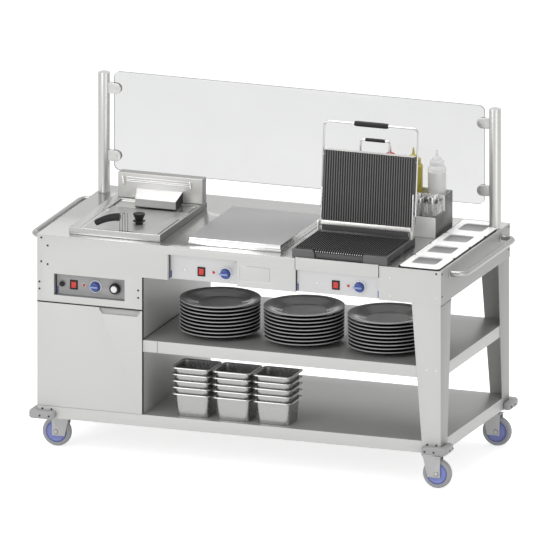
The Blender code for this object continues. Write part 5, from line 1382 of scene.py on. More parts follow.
@dataclass
class Fryer:
    """Drop-in fryer: rim and tank, lid, head, basket."""

    sheet: float = 0.006
    notch: Point = (-0.551, -0.491, 0.018)
    knob_x: float = -0.512
    knob_y: float = -0.216
    knob: Pairs = (
        (0.0, 0.0412), (0.016, 0.0415), (0.0205, 0.0428), (0.0228, 0.0445), (0.0247, 0.0437),
        (0.0253, 0.041), (0.0237, 0.0365), (0.0197, 0.0275), (0.0168, 0.02), (0.0165, 0.017),
        (0.0205, 0.015), (0.0256, 0.0136), (0.026, 0.012), (0.0252, 0.0106), (0.0165, 0.01),
        (0.0152, -0.0002), (0.0, -0.0002))
    roll: Pair = (0.0086, 0.0034)
    head_depth: float = 0.048
    band_inset: float = 0.045
    band_drops: Pair = (0.032, 0.018)
    bead_drops: Point = (0.0355, 0.0285, 0.0185)
    bead: float = 0.0022
    deck: float = 0.9703
    element_x: float = -0.542
    element_half: float = 0.06
    element_floor: float = 0.826
    hook_levels: Pair = (1.062, 1.028)
    guard_depth: float = 0.126
    guard_front: Point = (-0.616, -0.438, 0.0355)
    guard_rear: Point = (-0.655, -0.452, 0.0458)
    cover: Point = (-0.7035, -0.3885, 0.9618, 0.9634)
    basket_x: Pair = (-0.676, -0.406)
    basket_y: Pair = (-0.326, -0.006)
    basket_height: float = 0.11
    mesh_cuts: int = 20
    mesh_wire: float = 0.0016
    rim_wire: float = 0.0026
    loop_wire: float = 0.0018
    grip_radius: float = 0.0162
    loop_x: Pair = (-0.5445, -0.51)
    loop_crest: float = 1.0485
    loop_inset: float = 0.0115
    grip_start: Pair = (-0.5455, 1.0285)
    grip_run: Pair = (0.1035, 0.034)

    def build(self) -> None:
        """Build the fryer."""
        rim = refined("fryer_rim", "fryer_tank", 0.0022, 3)
        dress(rim, Look.UNIT_STEEL, "satin_steel", "fryer_tank")
        # Painted shade: the rim's right-hand faces take a dark grey.
        self.shade_faces(rim, (Look.SHADE_AND_WASHER_GREY, (1, 0, 0)))
        self.build_lid()
        self.build_head()
        self.build_basket()

    def shade_faces(self, piece: Any, *looks: tuple[Look, Point]) -> None:
        """Paint light or shade by direction: give the faces that look one way a lighter or darker
        finish of their own.

        Args:
            piece: The object.
            looks: Each finish with the direction of its faces.
        """
        for look, way in looks:
            axis = Vector(way)
            repaint(piece, look, lambda face: face.normal.dot(axis) > 0.85)

    def build_lid(self) -> None:
        """Build the lid sheet with its rolled edge, and the spool-shaped knob."""
        low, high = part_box("fryer_lid")
        top = low.z + self.sheet
        left, right, depth = self.notch
        sheet = block("lid_sheet", low, (high.x, high.y, top), 0.0018, 3)
        notch = block("notch", (left, low.y - 0.01, low.z - 0.01),
                      (right, low.y + depth, top + 0.01))
        dress(smooth(cut(sheet, notch)), Look.LID_STEEL, "pale_steel", "fryer_lid", body="basket")
        half, rise = self.roll
        arch = [(half * math.cos(step * math.pi / 10), rise * math.sin(step * math.pi / 10))
                for step in range(11)]
        roll = outline("lid_roll", arch, high.y - low.y - 0.056,
                       facing_front(low.x + 0.005, (low.y + high.y) / 2 - 0.026, top - 0.001))
        dress(smooth(roll, 50.0), Look.COVER_STEEL, "pale_steel", body="basket")
        # A black strip in the gap at the lid's right edge: painted shadow.
        gap = block("lid_gap", (high.x - 0.0044, low.y + 0.004, top - 0.001),
                    (high.x - 0.0002, high.y - 0.12, top + 0.0018), 0.0004, 1)
        dress(gap, Look.SHADOW, "black_plastic", body="basket")
        place = Matrix.Translation((self.knob_x, self.knob_y, top))
        dress(turned("lid_knob", self.knob, place, SMOOTH), Look.BLACK, "black_plastic",
              body="basket")

    def build_head(self) -> None:
        """Build the control head with its pressed band and hooks, guard and element."""
        low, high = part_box("fryer_head")
        front = high.y - self.head_depth
        box = block("head_box", (low.x, front, self.deck), high, 0.003, 3)
        inset, (foot, crest) = self.band_inset, self.band_drops
        band = block("band", (low.x + inset, front - 0.0014, high.z - foot),
                     (high.x - inset, front + 0.001, high.z - crest), 0.0008, 2)
        self.build_guard(front)
        casing = dress(fused("head_casing", [box, band]), Look.HEAD_STEEL,
                       "satin_steel", "fryer_head")
        # Painted shade: the top and the right side take darker copies of the head's steel.
        self.shade_faces(casing, (Look.HEAD_TOP, (0, 0, 1)), (Look.HEAD_SIDE, (1, 0, 0)))
        beads = [block("line", (low.x + 0.04, front - self.bead, high.z - drop),
                       (high.x - 0.046, front + 0.0004, high.z - drop + self.bead), 0.0006, 1)
                 for drop in self.bead_drops]
        dress(fused("band_beads", beads), Look.BRIGHT, "polished_steel")
        hooks = []
        upper, lower = self.hook_levels
        for x in (low.x + 0.024, high.x - 0.054):
            path = bent([(x, front + 0.001, upper), (x, front - 0.008, upper),
                         (x + 0.006, front - 0.008, lower), (x + 0.006, front + 0.001, lower)],
                        0.003, 5)
            hooks.append(swept("hook", path, 0.0026, rings=3))
        dress(fused("head_hooks", hooks), Look.BRIGHT, "polished_steel")
        leg_y, end_y = front - 0.063, low.y + 0.005
        top, floor = self.deck + 0.002, self.element_floor
        left, right = self.element_x - self.element_half, self.element_x + self.element_half
        corners = [(left, leg_y, top), (left, leg_y, floor), (left, end_y, floor),
                   (right, end_y, floor), (right, leg_y, floor), (right, leg_y, top)]
        dress(swept("heating_tube", bent(corners, 0.02), 0.005), Look.GRILL_STEEL, "dark_steel")

    def build_guard(self, front: float) -> None:
        """Build the sloped guard, wider at the rear, and the bright sheet beneath it.

        Args:
            front: The head's front face.
        """
        near, deck = front - self.guard_depth, self.deck
        left, right, height = self.guard_front
        rear_left, rear_right, rear_height = self.guard_rear
        guard = block("element_guard", (left, near, deck + 0.0005), (right, front, deck + height))
        for vertex in guard.data.vertices:
            if vertex.co.y > front - 0.01:
                vertex.co.x = rear_left if vertex.co.x < (left + right) / 2 else rear_right
                if vertex.co.z > deck + 0.01:
                    vertex.co.z = deck + rear_height
        dress(soften(guard, 0.0014, 3, 20.0), Look.HEAD_STEEL, "satin_steel")
        # Painted light by direction: a painted glint on the top, painted shade on the right side
        # and a darker front.
        self.shade_faces(guard, (Look.MIRROR, (0, 0, 1)), (Look.SHADOW, (1, 0, 0)),
                         (Look.GUARD_FRONT, (0, -1, 0)))
        # A black strip along the guard's foot: painted shadow.
        foot = block("guard_foot", (left - 0.001, near - 0.0008, deck),
                     (right + 0.001, near + 0.002, deck + 0.0028))
        dress(foot, Look.SHADOW, "dark_steel")
        left, right, under, over = self.cover
        sheet = block("tank_cover", (left, 0.0152, under), (right, front - 0.0005, over), 0.0004, 1)
        dress(sheet, Look.COVER_STEEL, "polished_steel")

    def build_basket(self) -> None:
        """Build the wire basket, its lifting loops and the drooping grip."""
        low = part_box("fryer_basket")[0]
        (left, right), (front, rear) = self.basket_x, self.basket_y
        top = low.z + self.basket_height
        deselect()
        bpy.ops.mesh.primitive_cube_add(
            size=1.0, location=((left + right) / 2, (front + rear) / 2,
                                (low.z + top) / 2 + 0.001),
            scale=(right - left - 0.004, rear - front - 0.004, top - low.z - 0.002))
        mesh = settle("basket_mesh")
        with editing():
            bpy.ops.mesh.select_all(action="DESELECT")
        for face in mesh.data.polygons:
            face.select = face.normal.z > 0.9
        bpy.ops.object.mode_set(mode="EDIT")
        bpy.ops.mesh.delete(type="FACE")
        bpy.ops.mesh.select_all(action="SELECT")
        bpy.ops.mesh.subdivide(number_cuts=self.mesh_cuts)
        bpy.ops.object.mode_set(mode="OBJECT")
        apply_modifier(mesh, "WIREFRAME", thickness=self.mesh_wire, use_boundary=True,
                       use_replace=True)
        middle_x = (left + right) / 2
        near, far, west, east = front + 0.002, rear - 0.002, left + 0.002, right - 0.002
        corners = [(x, y, top) for x, y in ((middle_x, near), (east, near), (east, far),
                                            (west, far), (west, near), (middle_x, near))]
        rim = swept("rim", bent(corners, 0.012, 6), self.rim_wire, rings=3)
        wire_y = low.y + 0.003
        loops = []
        for inset in (0.0, self.loop_inset):
            x0, x1 = self.loop_x[0] + inset, self.loop_x[1] - inset
            foot, crest = top - 0.002, self.loop_crest - inset * 0.3
            corners = [(x0, near, foot), (x0, wire_y, foot), (x0, wire_y, crest),
                       (x1, wire_y, crest), (x1, wire_y, foot), (x1, near, foot)]
            loops.append(swept("loop", bent(corners, 0.006), self.loop_wire, rings=4))
        dress(fused("basket_wires", [mesh, rim, *loops]), Look.WIRE,
              "polished_steel", "fryer_basket", body="basket")
        path, swell = [], []
        for index in range(21):
            share = index / 20
            path.append((self.grip_start[0] - self.grip_run[0] * share, wire_y,
                         self.grip_start[1] - self.grip_run[1] * share ** 1.8))
            ends = min(1.0, 0.93 + 3 * min(share, 1 - share))
            swell.append(ends * (1.06 - 0.26 * share))
        grip = swept("basket_handle", path, self.grip_radius, swell, 6)
        dress(grip, Look.BLACK, "black_plastic", body="basket")


@dataclass
class HotPlate:
    """Flat hot plate whose sides are painted bright as a painted reflection."""

    step: float = 0.012
    inset: float = 0.002

    def build(self) -> None:
        """Build the plate and its two bands, their sides painted bright as a reflection."""
        low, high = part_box("hot_plate")
        lower = block("lower", low, (high.x, high.y, low.z + self.step), 0.0015, 2)
        upper = block("upper", (low.x + self.inset, low.y + self.inset, low.z + 0.0005),
                      (high.x - self.inset, high.y - self.inset, high.z), 0.0028, 3)
        piece = dress(fused("plate_body", [lower, upper]), Look.PLATE_STEEL,
                      "satin_steel", "hot_plate")
        # Painted reflection: every face but the top takes the bright steel.
        repaint(piece, Look.BRIGHT, lambda face: face.normal.z < 0.6)


@dataclass
class ContactGrill:
    """Contact grill: base, tray, plates, swinging lid and handles."""

    hinge_y: float = -0.105
    hinge_z: float = 1.01
    lean: float = math.radians(6.0)
    base_x: Pair = (0.231, 0.65)
    base_y: Pair = (-0.413, -0.075)
    base_z: Pair = (0.9406, 0.978)
    channel_x: Pair = (0.3292, 0.5428)
    channel_rear: float = -0.205
    corner: float = 0.017
    slot_starts: Pair = (-0.376, -0.216)
    slot_half: float = 0.06
    hood_x: Pair = (0.248, 0.613)
    hood_y: Pair = (-0.4197, -0.4168)
    hood_foot: float = 0.8905
    lower_ribs: int = 40
    rib_height: float = 0.0044
    rear_wall: float = 0.005
    drain_x: Pair = (0.331, 0.541)
    drain_foot: float = 0.9716
    drain_run: float = 0.0155
    drain_drop: float = 0.009
    lid_x: Pair = (0.256, 0.645)
    lid_z: Pair = (0.02, 0.312)
    lid_ribs: int = 37
    rod_x: Pair = (0.233, 0.648)
    rod_radius: float = 0.006
    stay_size: Pair = (0.0034, 0.01)
    stays: Pairs = ((-0.015, 0.158), (0.003, 0.128))
    loop_x: Pair = (0.2445, 0.6565)
    loop_z: Pair = (0.065, 0.43)
    loop_y: float = 0.0043
    loop_bend: float = 0.022
    wire: float = 0.004
    stud_x: Pair = (0.2527, 0.6483)
    stud_radius: float = 0.0034
    grip: Pair = (0.0725, 0.0115)
    rear_loop_half: float = 0.0635
    rear_grip: Pair = (0.043, 0.0075)
    rear_loop_y: Pair = (0.0403, 0.0603)
    rear_loop_z: Pair = (0.268, 0.357)

    def build(self) -> None:
        """Build the grill."""
        self.build_base()
        self.build_hood()
        self.build_lower()
        self.build_lid()
        self.build_ribs()
        self.build_loops()

    def tilt(self) -> Matrix:
        """Return the frame of the lid: Z up along the leaning plate, origin on the hinge."""
        return (Matrix.Translation((0.0, self.hinge_y, self.hinge_z))
                @ Matrix.Rotation(-self.lean, 4, "X"))

    def lean_back(self, obj: Any) -> Any:
        """Move a piece made in the lid's own frame to its leaning place.

        Args:
            obj: The piece.

        Returns:
            The piece.
        """
        select_only(obj)
        obj.matrix_world = self.tilt()
        return settle(obj.name)

    def build_base(self) -> None:
        """Build the dark base with its side slots, the hinge's cheeks and the tray."""
        (left, right), (front, rear), (low, top) = self.base_x, self.base_y, self.base_z
        (tray_left, tray_right), channel, corner = self.channel_x, self.channel_rear, self.corner
        points = [(left, low), (tray_left, low), (tray_left, top - corner)]
        points += [(tray_left - corner + corner * math.cos(step * math.pi / 12),
                    top - corner + corner * math.sin(step * math.pi / 12)) for step in range(1, 7)]
        points.append((left, top))
        parts = [outline("left_block", points, channel - front,
                         facing_front(0, (front + channel) / 2, 0), 0.0012, 2),
                 block("right_block", (tray_right, front, low), (right, channel, top), 0.0014, 2),
                 block("rear_block", (left, channel, low), (right, rear, top), 0.0014, 2),
                 block("under_tray", (tray_left - 0.002, front + 0.004, low),
                       (tray_right + 0.002, channel, low + 0.0028))]
        casing = dress(fused("grill_casing", parts), Look.GRILL_STEEL, "dark_steel", "grill_base")
        # Painted light by direction: right-hand faces take a darker iron, front faces a lighter
        # steel.
        repaint(casing, Look.IRON_CREST, lambda face: face.normal.x > 0.8)
        repaint(casing, Look.WING_STEEL, lambda face: face.normal.y < -0.8)
        cheeks = [block("cheek", (x, -0.119, top - 0.004), (x + 0.0105, -0.091, 1.024), 0.003, 3)
                  for x in (left + 0.0008, right - 0.0113)]
        dress(fused("hinge_cheeks", cheeks), Look.BAR_STEEL, "polished_steel")
        # Black strips stand for the slots: painted shade in the openings.
        half = self.slot_half
        slots = [outline("slot", rounded(half, 0.0031, 0.0028, 4), 0.0008,
                         facing_right(right, start + half, low + 0.0074))
                 for start in self.slot_starts]
        dress(fused("vent_slots", slots), Look.SHADOW, "black_plastic")
        tray = refined("drip_drawer", "grill_drip_tray", 0.0012, 2)
        dress(tray, Look.GRILL_STEEL, "dark_steel", "grill_drip_tray", body="drip_tray")

    def build_hood(self) -> None:
        """Build the pale sheet hood that hangs over the control panel's top."""
        (left, right), (face, back), foot = self.hood_x, self.hood_y, self.hood_foot
        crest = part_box("grill_drip_tray")[0].z - 0.0004
        hood = [block("sheet", (left, face, foot), (right, back, crest), 0.0008, 2),
                block("return", (left, back - 0.0004, crest - 0.0038), (right, -0.4125, crest),
                      0.0004, 1)]
        dress(fused("panel_hood", hood), Look.FRONT_STEEL, "pale_steel")
        # Black strips at the hood's ends: painted shadow in the gaps beside it.
        edges = [block("edge", (x - 0.0011, face + 0.0006, foot),
                       (x + 0.0011, back + 0.0001, 0.94)) for x in (left - 0.0006, right + 0.0006)]
        dress(fused("hood_edges", edges), Look.SHADOW, "dark_steel")

    def build_lower(self) -> None:
        """Build the lower plate: ribs from front to rear, open ends over the drip tray."""
        low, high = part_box("grill_lower_plate")
        wall, crest, valley = high.y - self.rear_wall, high.z + 0.0004, high.z - self.rib_height
        slab = block("plate_slab", low, (high.x, high.y, valley), 0.0012, 2)
        back = block("plate_back", (low.x, wall, low.z + 0.001), high, 0.0012, 2)
        dress(fused("lower_slab", [slab, back]), Look.IRON_PLAIN, "cast_iron", "grill_lower_plate")
        pitch = (high.x - low.x) / self.lower_ribs
        left, right, foot = low.x + 0.0006, high.x - 0.0006, high.z - 0.0058
        points = [(left, foot), (right, foot), (right, valley)]
        for index in reversed(range(self.lower_ribs)):
            points += [(low.x + index * pitch + share * pitch, level) for share, level in
                       ((0.88, valley), (0.74, crest), (0.36, crest), (0.22, valley))]
        points.append((left, valley))
        place = facing_front(0, (wall + low.y) / 2 - 0.0005, 0)
        ribs = dress(outline("lower_ribs", points, wall - low.y, place), Look.IRON_VALLEY,
                     "cast_iron")
        # Painted light and shade: the crests take a lighter iron, the grooves a near-black one, the
        # front ends the grill's steel.
        repaint(ribs, Look.IRON_CREST,
                lambda face: face.normal.z > 0.9 and face.center.z > crest - 0.0005)
        repaint(ribs, Look.GRILL_STEEL, lambda face: face.normal.y < -0.9)
        self.build_drain(low, pitch, crest, valley)

    def build_drain(self, low: Vector, pitch: float, crest: float, valley: float) -> None:
        """Build the ribs' fall between the base's wings, down towards the drip tray.

        Args:
            low: The lowest corner of the lower plate's box.
            pitch: The ribs' spacing.
            crest: The ribs' top.
            valley: The grooves' floor.
        """
        rear, drop, foot = low.y + 0.002, self.drain_drop, self.drain_foot
        front = rear - self.drain_run
        left, right = self.drain_x
        slope = [(front, foot), (rear, foot), (rear, valley), (front, valley - drop)]
        # Painted light and shade: the slope between the ribs is near-black, the rib tops lighter.
        dress(outline("drain_slope", slope, right - left, facing_right((left + right) / 2, 0, 0)),
              Look.IRON_VALLEY, "cast_iron")
        rise = [(front, valley - drop), (rear, valley), (rear, crest), (front, crest - drop)]
        middles = [low.x + (index + 0.55) * pitch for index in range(self.lower_ribs)]
        middles = [x for x in middles if left + 0.003 < x < right - 0.003]
        ribs = [outline("rib", rise, 0.38 * pitch, facing_right(x, 0, 0)) for x in middles]
        tips = [block("tip", (x - 0.14 * pitch, front - 0.0012, valley - drop + 0.0006),
                      (x + 0.14 * pitch, front + 0.001, crest - drop), 0.0006, 2) for x in middles]
        dress(fused("drain_ribs", ribs), Look.IRON_CREST, "cast_iron")
        # The pale rib tips are a painted highlight.
        dress(fused("rib_tips", tips), Look.BAR_STEEL, "cast_iron")

    def build_lid(self) -> None:
        """Build the lid's housing, hinge rod and bar, skirt and stays."""
        (left, right), (bottom, top) = self.lid_x, self.lid_z
        leaning = [block("casing", (left - 0.003, -0.0077, bottom), (right + 0.003, 0.0423, top),
                         0.009, 4),
                   block("arm", (left + 0.04, -0.017, -0.0025), (right - 0.04, 0.0025, 0.0025)),
                   block("web", (left + 0.06, -0.0012, 0.0), (right - 0.06, 0.0012, 0.04))]
        start, end = ((x, self.hinge_y, self.hinge_z) for x in self.rod_x)
        hinge_rod = rod("hinge_rod", start, end, self.rod_radius, 0.001)
        shell = fused("lid_casing", [*(self.lean_back(piece) for piece in leaning), hinge_rod])
        dress(shell, Look.HEAD_STEEL, "satin_steel", "grill_lid_housing", body="grill_lid")
        # Painted shade: faces towards the right end take the dark grill steel.
        repaint(shell, Look.GRILL_STEEL, lambda face: face.normal.x > 0.3)
        width, depth = self.stay_size
        stays = [block("stay", (x, y, 0.002), (x + width, y + depth, reach), 0.0008, 2)
                 for x in (right + width, left - 2 * width) for y, reach in self.stays]
        bar = block("hinge_bar", (left - 0.003, -0.0228, 0.0002),
                    (right + 0.001, -0.0142, 0.0195), 0.003, 3)
        skirt = block("hinge_skirt", (left + 0.002, -0.0208, -0.0222),
                      (right - 0.0078, -0.0165, 0.0), 0.0008, 2)
        for piece, look, slot in ((fused("lid_stays", stays), Look.BAR_STEEL, "polished_steel"),
                                  (bar, Look.BAR_STEEL, "polished_steel"),
                                  (skirt, Look.IRON_PLAIN, "dark_steel")):
            dress(self.lean_back(piece), look, slot, body="grill_lid")

    def build_ribs(self) -> None:
        """Build the ribbed cooking face as one ribbed section extruded upwards."""
        (left, right), (bottom, top) = self.lid_x, self.lid_z
        pitch = (right - left) / self.lid_ribs
        crest, valley, back = -0.02, -0.016, -0.008
        points = []
        for index in range(self.lid_ribs):
            for share, depth in ((0.0, valley), (0.3, valley), (0.4, crest + 0.0006),
                                 (0.48, crest), (0.72, crest), (0.8, crest + 0.0006),
                                 (0.9, valley)):
                points.append((left + index * pitch + share * pitch, depth))
        points += [(right, valley), (right, back), (left, back)]
        place = Matrix.Translation((0, 0, (bottom + top) / 2))
        slab = self.lean_back(outline("ribbed_plate", points, top - bottom, place))
        dress(slab, Look.IRON, "cast_iron", "grill_upper_plate", body="grill_lid")
        level = self.tilt().inverted()
        # Painted shade: the grooves between the ribs take a darker iron.
        repaint(slab, Look.IRON_DARK, lambda face: (level @ face.center).y > crest + 0.0012)

    def build_loops(self) -> None:
        """Build the long handle loop, the rear loop and their black grips."""
        (left, right), (low, high), level = self.loop_x, self.loop_z, self.loop_y
        corners = [(left, level, low), (left, level, high), (right, level, high),
                   (right, level, low)]
        loop = swept("loop", bent(corners, self.loop_bend, 10), self.wire)
        studs = [rod("stud", (inner, level, height), (x, level, height), self.stud_radius, 0, 20)
                 for x, inner in zip(self.loop_x, self.stud_x) for height in (low + 0.011, 0.29)]
        centre = (left + right) / 2
        half, radius = self.grip
        grip = swept("grip", [(centre + half * (i / 8 - 1), level, high) for i in range(17)],
                     radius, [0.9, 0.98] + [1.0] * 13 + [0.98, 0.9], 7)
        (back, out), (foot, head) = self.rear_loop_y, self.rear_loop_z
        x0, x1 = centre - self.rear_loop_half, centre + self.rear_loop_half
        corners = [(x0, back, foot), (x0, out, foot), (x0, out, head), (x1, out, head),
                   (x1, out, foot), (x1, back, foot)]
        rear = swept("rear_loop", bent(corners, self.loop_bend / 2, 6), self.wire, rings=4)
        half, radius = self.rear_grip
        small = swept("rear_grip", [(centre + half * (i / 6 - 1), out, head)
                                    for i in range(13)], radius, [0.9] + [1.0] * 11 + [0.9], 5)
        for piece, look, slot, nodes in (
                (fused("handle_loop", [loop, *studs]), Look.CHROME, "polished_steel",
                 ("grill_handle_loop",)),
                (grip, Look.BLACK, "black_plastic", ("grill_handle_grip",)),
                (rear, Look.CHROME, "polished_steel", ()),
                (small, Look.BLACK, "black_plastic", ())):
            dress(self.lean_back(piece), look, slot, *nodes, body="grill_lid")


@dataclass
class Sauces:
    """Stepped rack, squeeze bottles and two clear cups of sachets."""

    body: Pairs = (
        (0.0, 0.1955), (0.0295, 0.1955), (0.0325, 0.1935), (0.0365, 0.1905), (0.0385, 0.186),
        (0.039, 0.18), (0.0386, 0.15), (0.0384, 0.09), (0.0386, 0.03), (0.039, 0.008),
        (0.0375, 0.0025), (0.034, 0.0), (0.02, 0.0), (0.017, 0.003), (0.0, 0.004))
    cap: Pairs = (
        (0.0, 0.262), (0.0028, 0.262), (0.0032, 0.258), (0.0062, 0.2345), (0.0085, 0.2315),
        (0.0175, 0.2285), (0.0198, 0.226), (0.02, 0.2185), (0.0288, 0.2172), (0.031, 0.215),
        (0.031, 0.1975), (0.03, 0.1957), (0.0, 0.1957))
    sauce: Pairs = (
        (0.0, 0.168), (0.0362, 0.168), (0.0366, 0.15), (0.0364, 0.09), (0.0366, 0.03),
        (0.0366, 0.01), (0.033, 0.0055), (0.0, 0.0055))
    right_edge: float = 0.68
    cups: tuple[tuple[str, float], ...] = (("right", 0.6485), ("left", 0.579))
    cup_y: float = 0.1335
    cup_z: float = 0.9605
    cup_size: Point = (0.0325, 0.051, 0.012, 0.122)
    cup_wall: float = 0.0014
    sachets: int = 5
    sachet_pitch: float = 0.0118

    def build(self) -> None:
        """Build the rack and what stands in it."""
        rack = refined("stepped_rack", "sauce_rack", 0.0006)
        dress(rack, Look.RACK_STEEL, "satin_steel", "sauce_rack")
        # Painted shade: the rack's right-hand faces take a dark grey.
        repaint(rack, Look.SHADE_AND_WASHER_GREY,
                lambda face: face.normal.x > 0.8 and face.center.x > self.right_edge)
        self.build_bottle("bottle_red", Look.KETCHUP, "red_plastic")
        self.build_bottle("bottle_yellow", Look.MUSTARD, "yellow_plastic")
        self.build_bottle("bottle_clear", Look.CLEAR_BOTTLE, "clear_plastic")
        for name, x in self.cups:
            self.build_cup(name, Vector((x, self.cup_y, self.cup_z)))

    def build_bottle(self, node: str, look: Look, slot: str) -> None:
        """Build one squeeze bottle: body with a shoulder, stepped cap and nozzle.

        Args:
            node: The bottle's node.
            look: Its finish.
            slot: The record's material slot.
        """
        spot = middle(node)
        place = Matrix.Translation((spot.x, spot.y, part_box(node)[0].z))
        dress(turned(node + "_body", self.body, place, FINE), look, slot, node)
        dress(turned(node + "_cap", self.cap, place, FINE), look, slot)
        if look is Look.CLEAR_BOTTLE:
            dress(turned("pale_sauce", self.sauce, place), Look.PALE_SAUCE, slot)

    def build_cup(self, name: str, centre: Vector) -> None:
        """Build one clear cup with its sachets.

        Args:
            name: The cup's place in the rack.
            centre: The middle of its foot.
        """
        half_x, half_y, radius, height = self.cup_size
        gap = self.cup_wall
        wall = outline("cup_" + name, rounded(half_x, half_y, radius, 8), height,
                       Matrix.Translation(centre + Vector((0, 0, height / 2))))
        hollow = outline("hollow", rounded(half_x - gap, half_y - gap, radius - gap, 8),
                         height + 0.002,
                         Matrix.Translation(centre + Vector((0, 0, height / 2 + 0.003))))
        dress(soften(cut(wall, hollow), 0.0005, 1, 50.0), Look.CLEAR_BOTTLE, "clear_plastic")
        packs = [self.build_sachet(centre, index) for index in range(self.sachets)]
        dress(smooth(fused("sachets_" + name, packs), 60.0), Look.SACHET, "white_plastic")

    def build_sachet(self, centre: Vector, index: int) -> Any:
        """Build one creased sachet that stands in a cup.

        Args:
            centre: The middle of the cup's foot.
            index: The sachet's number, from 0.

        Returns:
            The object.
        """
        x = centre.x - 0.0235 + index * self.sachet_pitch
        tall = 0.128 + 0.014 * ((index * 5) % 4) / 3
        lean = math.radians(-6 + (index * 7) % 13)
        pack = block("sachet", (-0.0042, -0.034, 0.004), (0.0042, 0.034, tall), 0.003, 2)
        select_only(pack)
        with editing():
            bpy.ops.mesh.subdivide(number_cuts=3)
        for vertex in pack.data.vertices:
            crease = math.sin(vertex.co.y * 130 + index) * math.sin(vertex.co.z * 90 + index * 2)
            vertex.co.x += 0.0014 * crease
        spot = (x, centre.y + 0.006 * math.sin(index * 2.1), centre.z + 0.004)
        pack.matrix_world = Matrix.Translation(spot) @ Matrix.Rotation(lean, 4, "X")
        return settle("sachet")


@dataclass
class Ingredients:
    """Four covered ingredient wells in a row."""

    pitch: float = 0.187
    count: int = 4
    frame_share: float = 0.4
    inset: float = 0.007
    gap: float = 0.0006
    corner: float = 0.017
    cover_edge: float = 0.0026
    window_half: float = 0.0545
    window_corner: float = 0.015

    def build(self) -> None:
        """Build the frame below and the four lids with their windows."""
        low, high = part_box("ingredient_tray")
        share = self.frame_share
        body = refined("well_frame", "ingredient_tray", 0.0006, 1)
        select_only(body)
        body.scale = (1.0, 1.0, share)
        body.location.z = low.z * (1 - share)
        # The frame below the lids is black: painted shadow under the lids.
        dress(settle("well_frame"), Look.SHADOW, "white_plastic", "ingredient_tray")
        left, deck = low.x + self.inset, low.z + (high.z - low.z) * share
        centre_x, well_x, tall = (left + high.x) / 2, (low.x + high.x) / 2 + 0.001, high.z - deck
        lids, panes = [], []
        for index in range(self.count):
            last = index == self.count - 1
            front = low.y + index * self.pitch + self.gap
            rear = high.y - self.gap if last else front + self.pitch - 2 * self.gap
            corners = rounded((high.x - left) / 2 - 0.0004, (rear - front) / 2, self.corner, 8)
            place = Matrix.Translation((centre_x, (front + rear) / 2, deck + tall / 2))
            lid = outline("lid", corners, tall, place, self.cover_edge, 4)
            if last:
                cut(lid, block("post_gap", (0.828, 0.288, deck - 0.01), (0.9, 0.4, high.z + 0.01)))
            well_y = low.y + (index + 0.5) * self.pitch + 0.016
            half, radius = self.window_half, self.window_corner
            lids.append(cut(lid, outline("well", rounded(half, half, radius), 0.02,
                                         Matrix.Translation((well_x, well_y, high.z + 0.0046)))))
            half, radius = half - 0.0003, radius - 0.0002
            panes.append(outline("pane", rounded(half, half, radius), 0.0012,
                                 Matrix.Translation((well_x, well_y, deck + 0.001)), 0.0003, 1))
        dress(smooth(fused("well_lids", lids)), Look.LID_WHITE, "white_plastic")
        dress(fused("well_windows", panes), Look.WELL_GREY, "white_plastic")


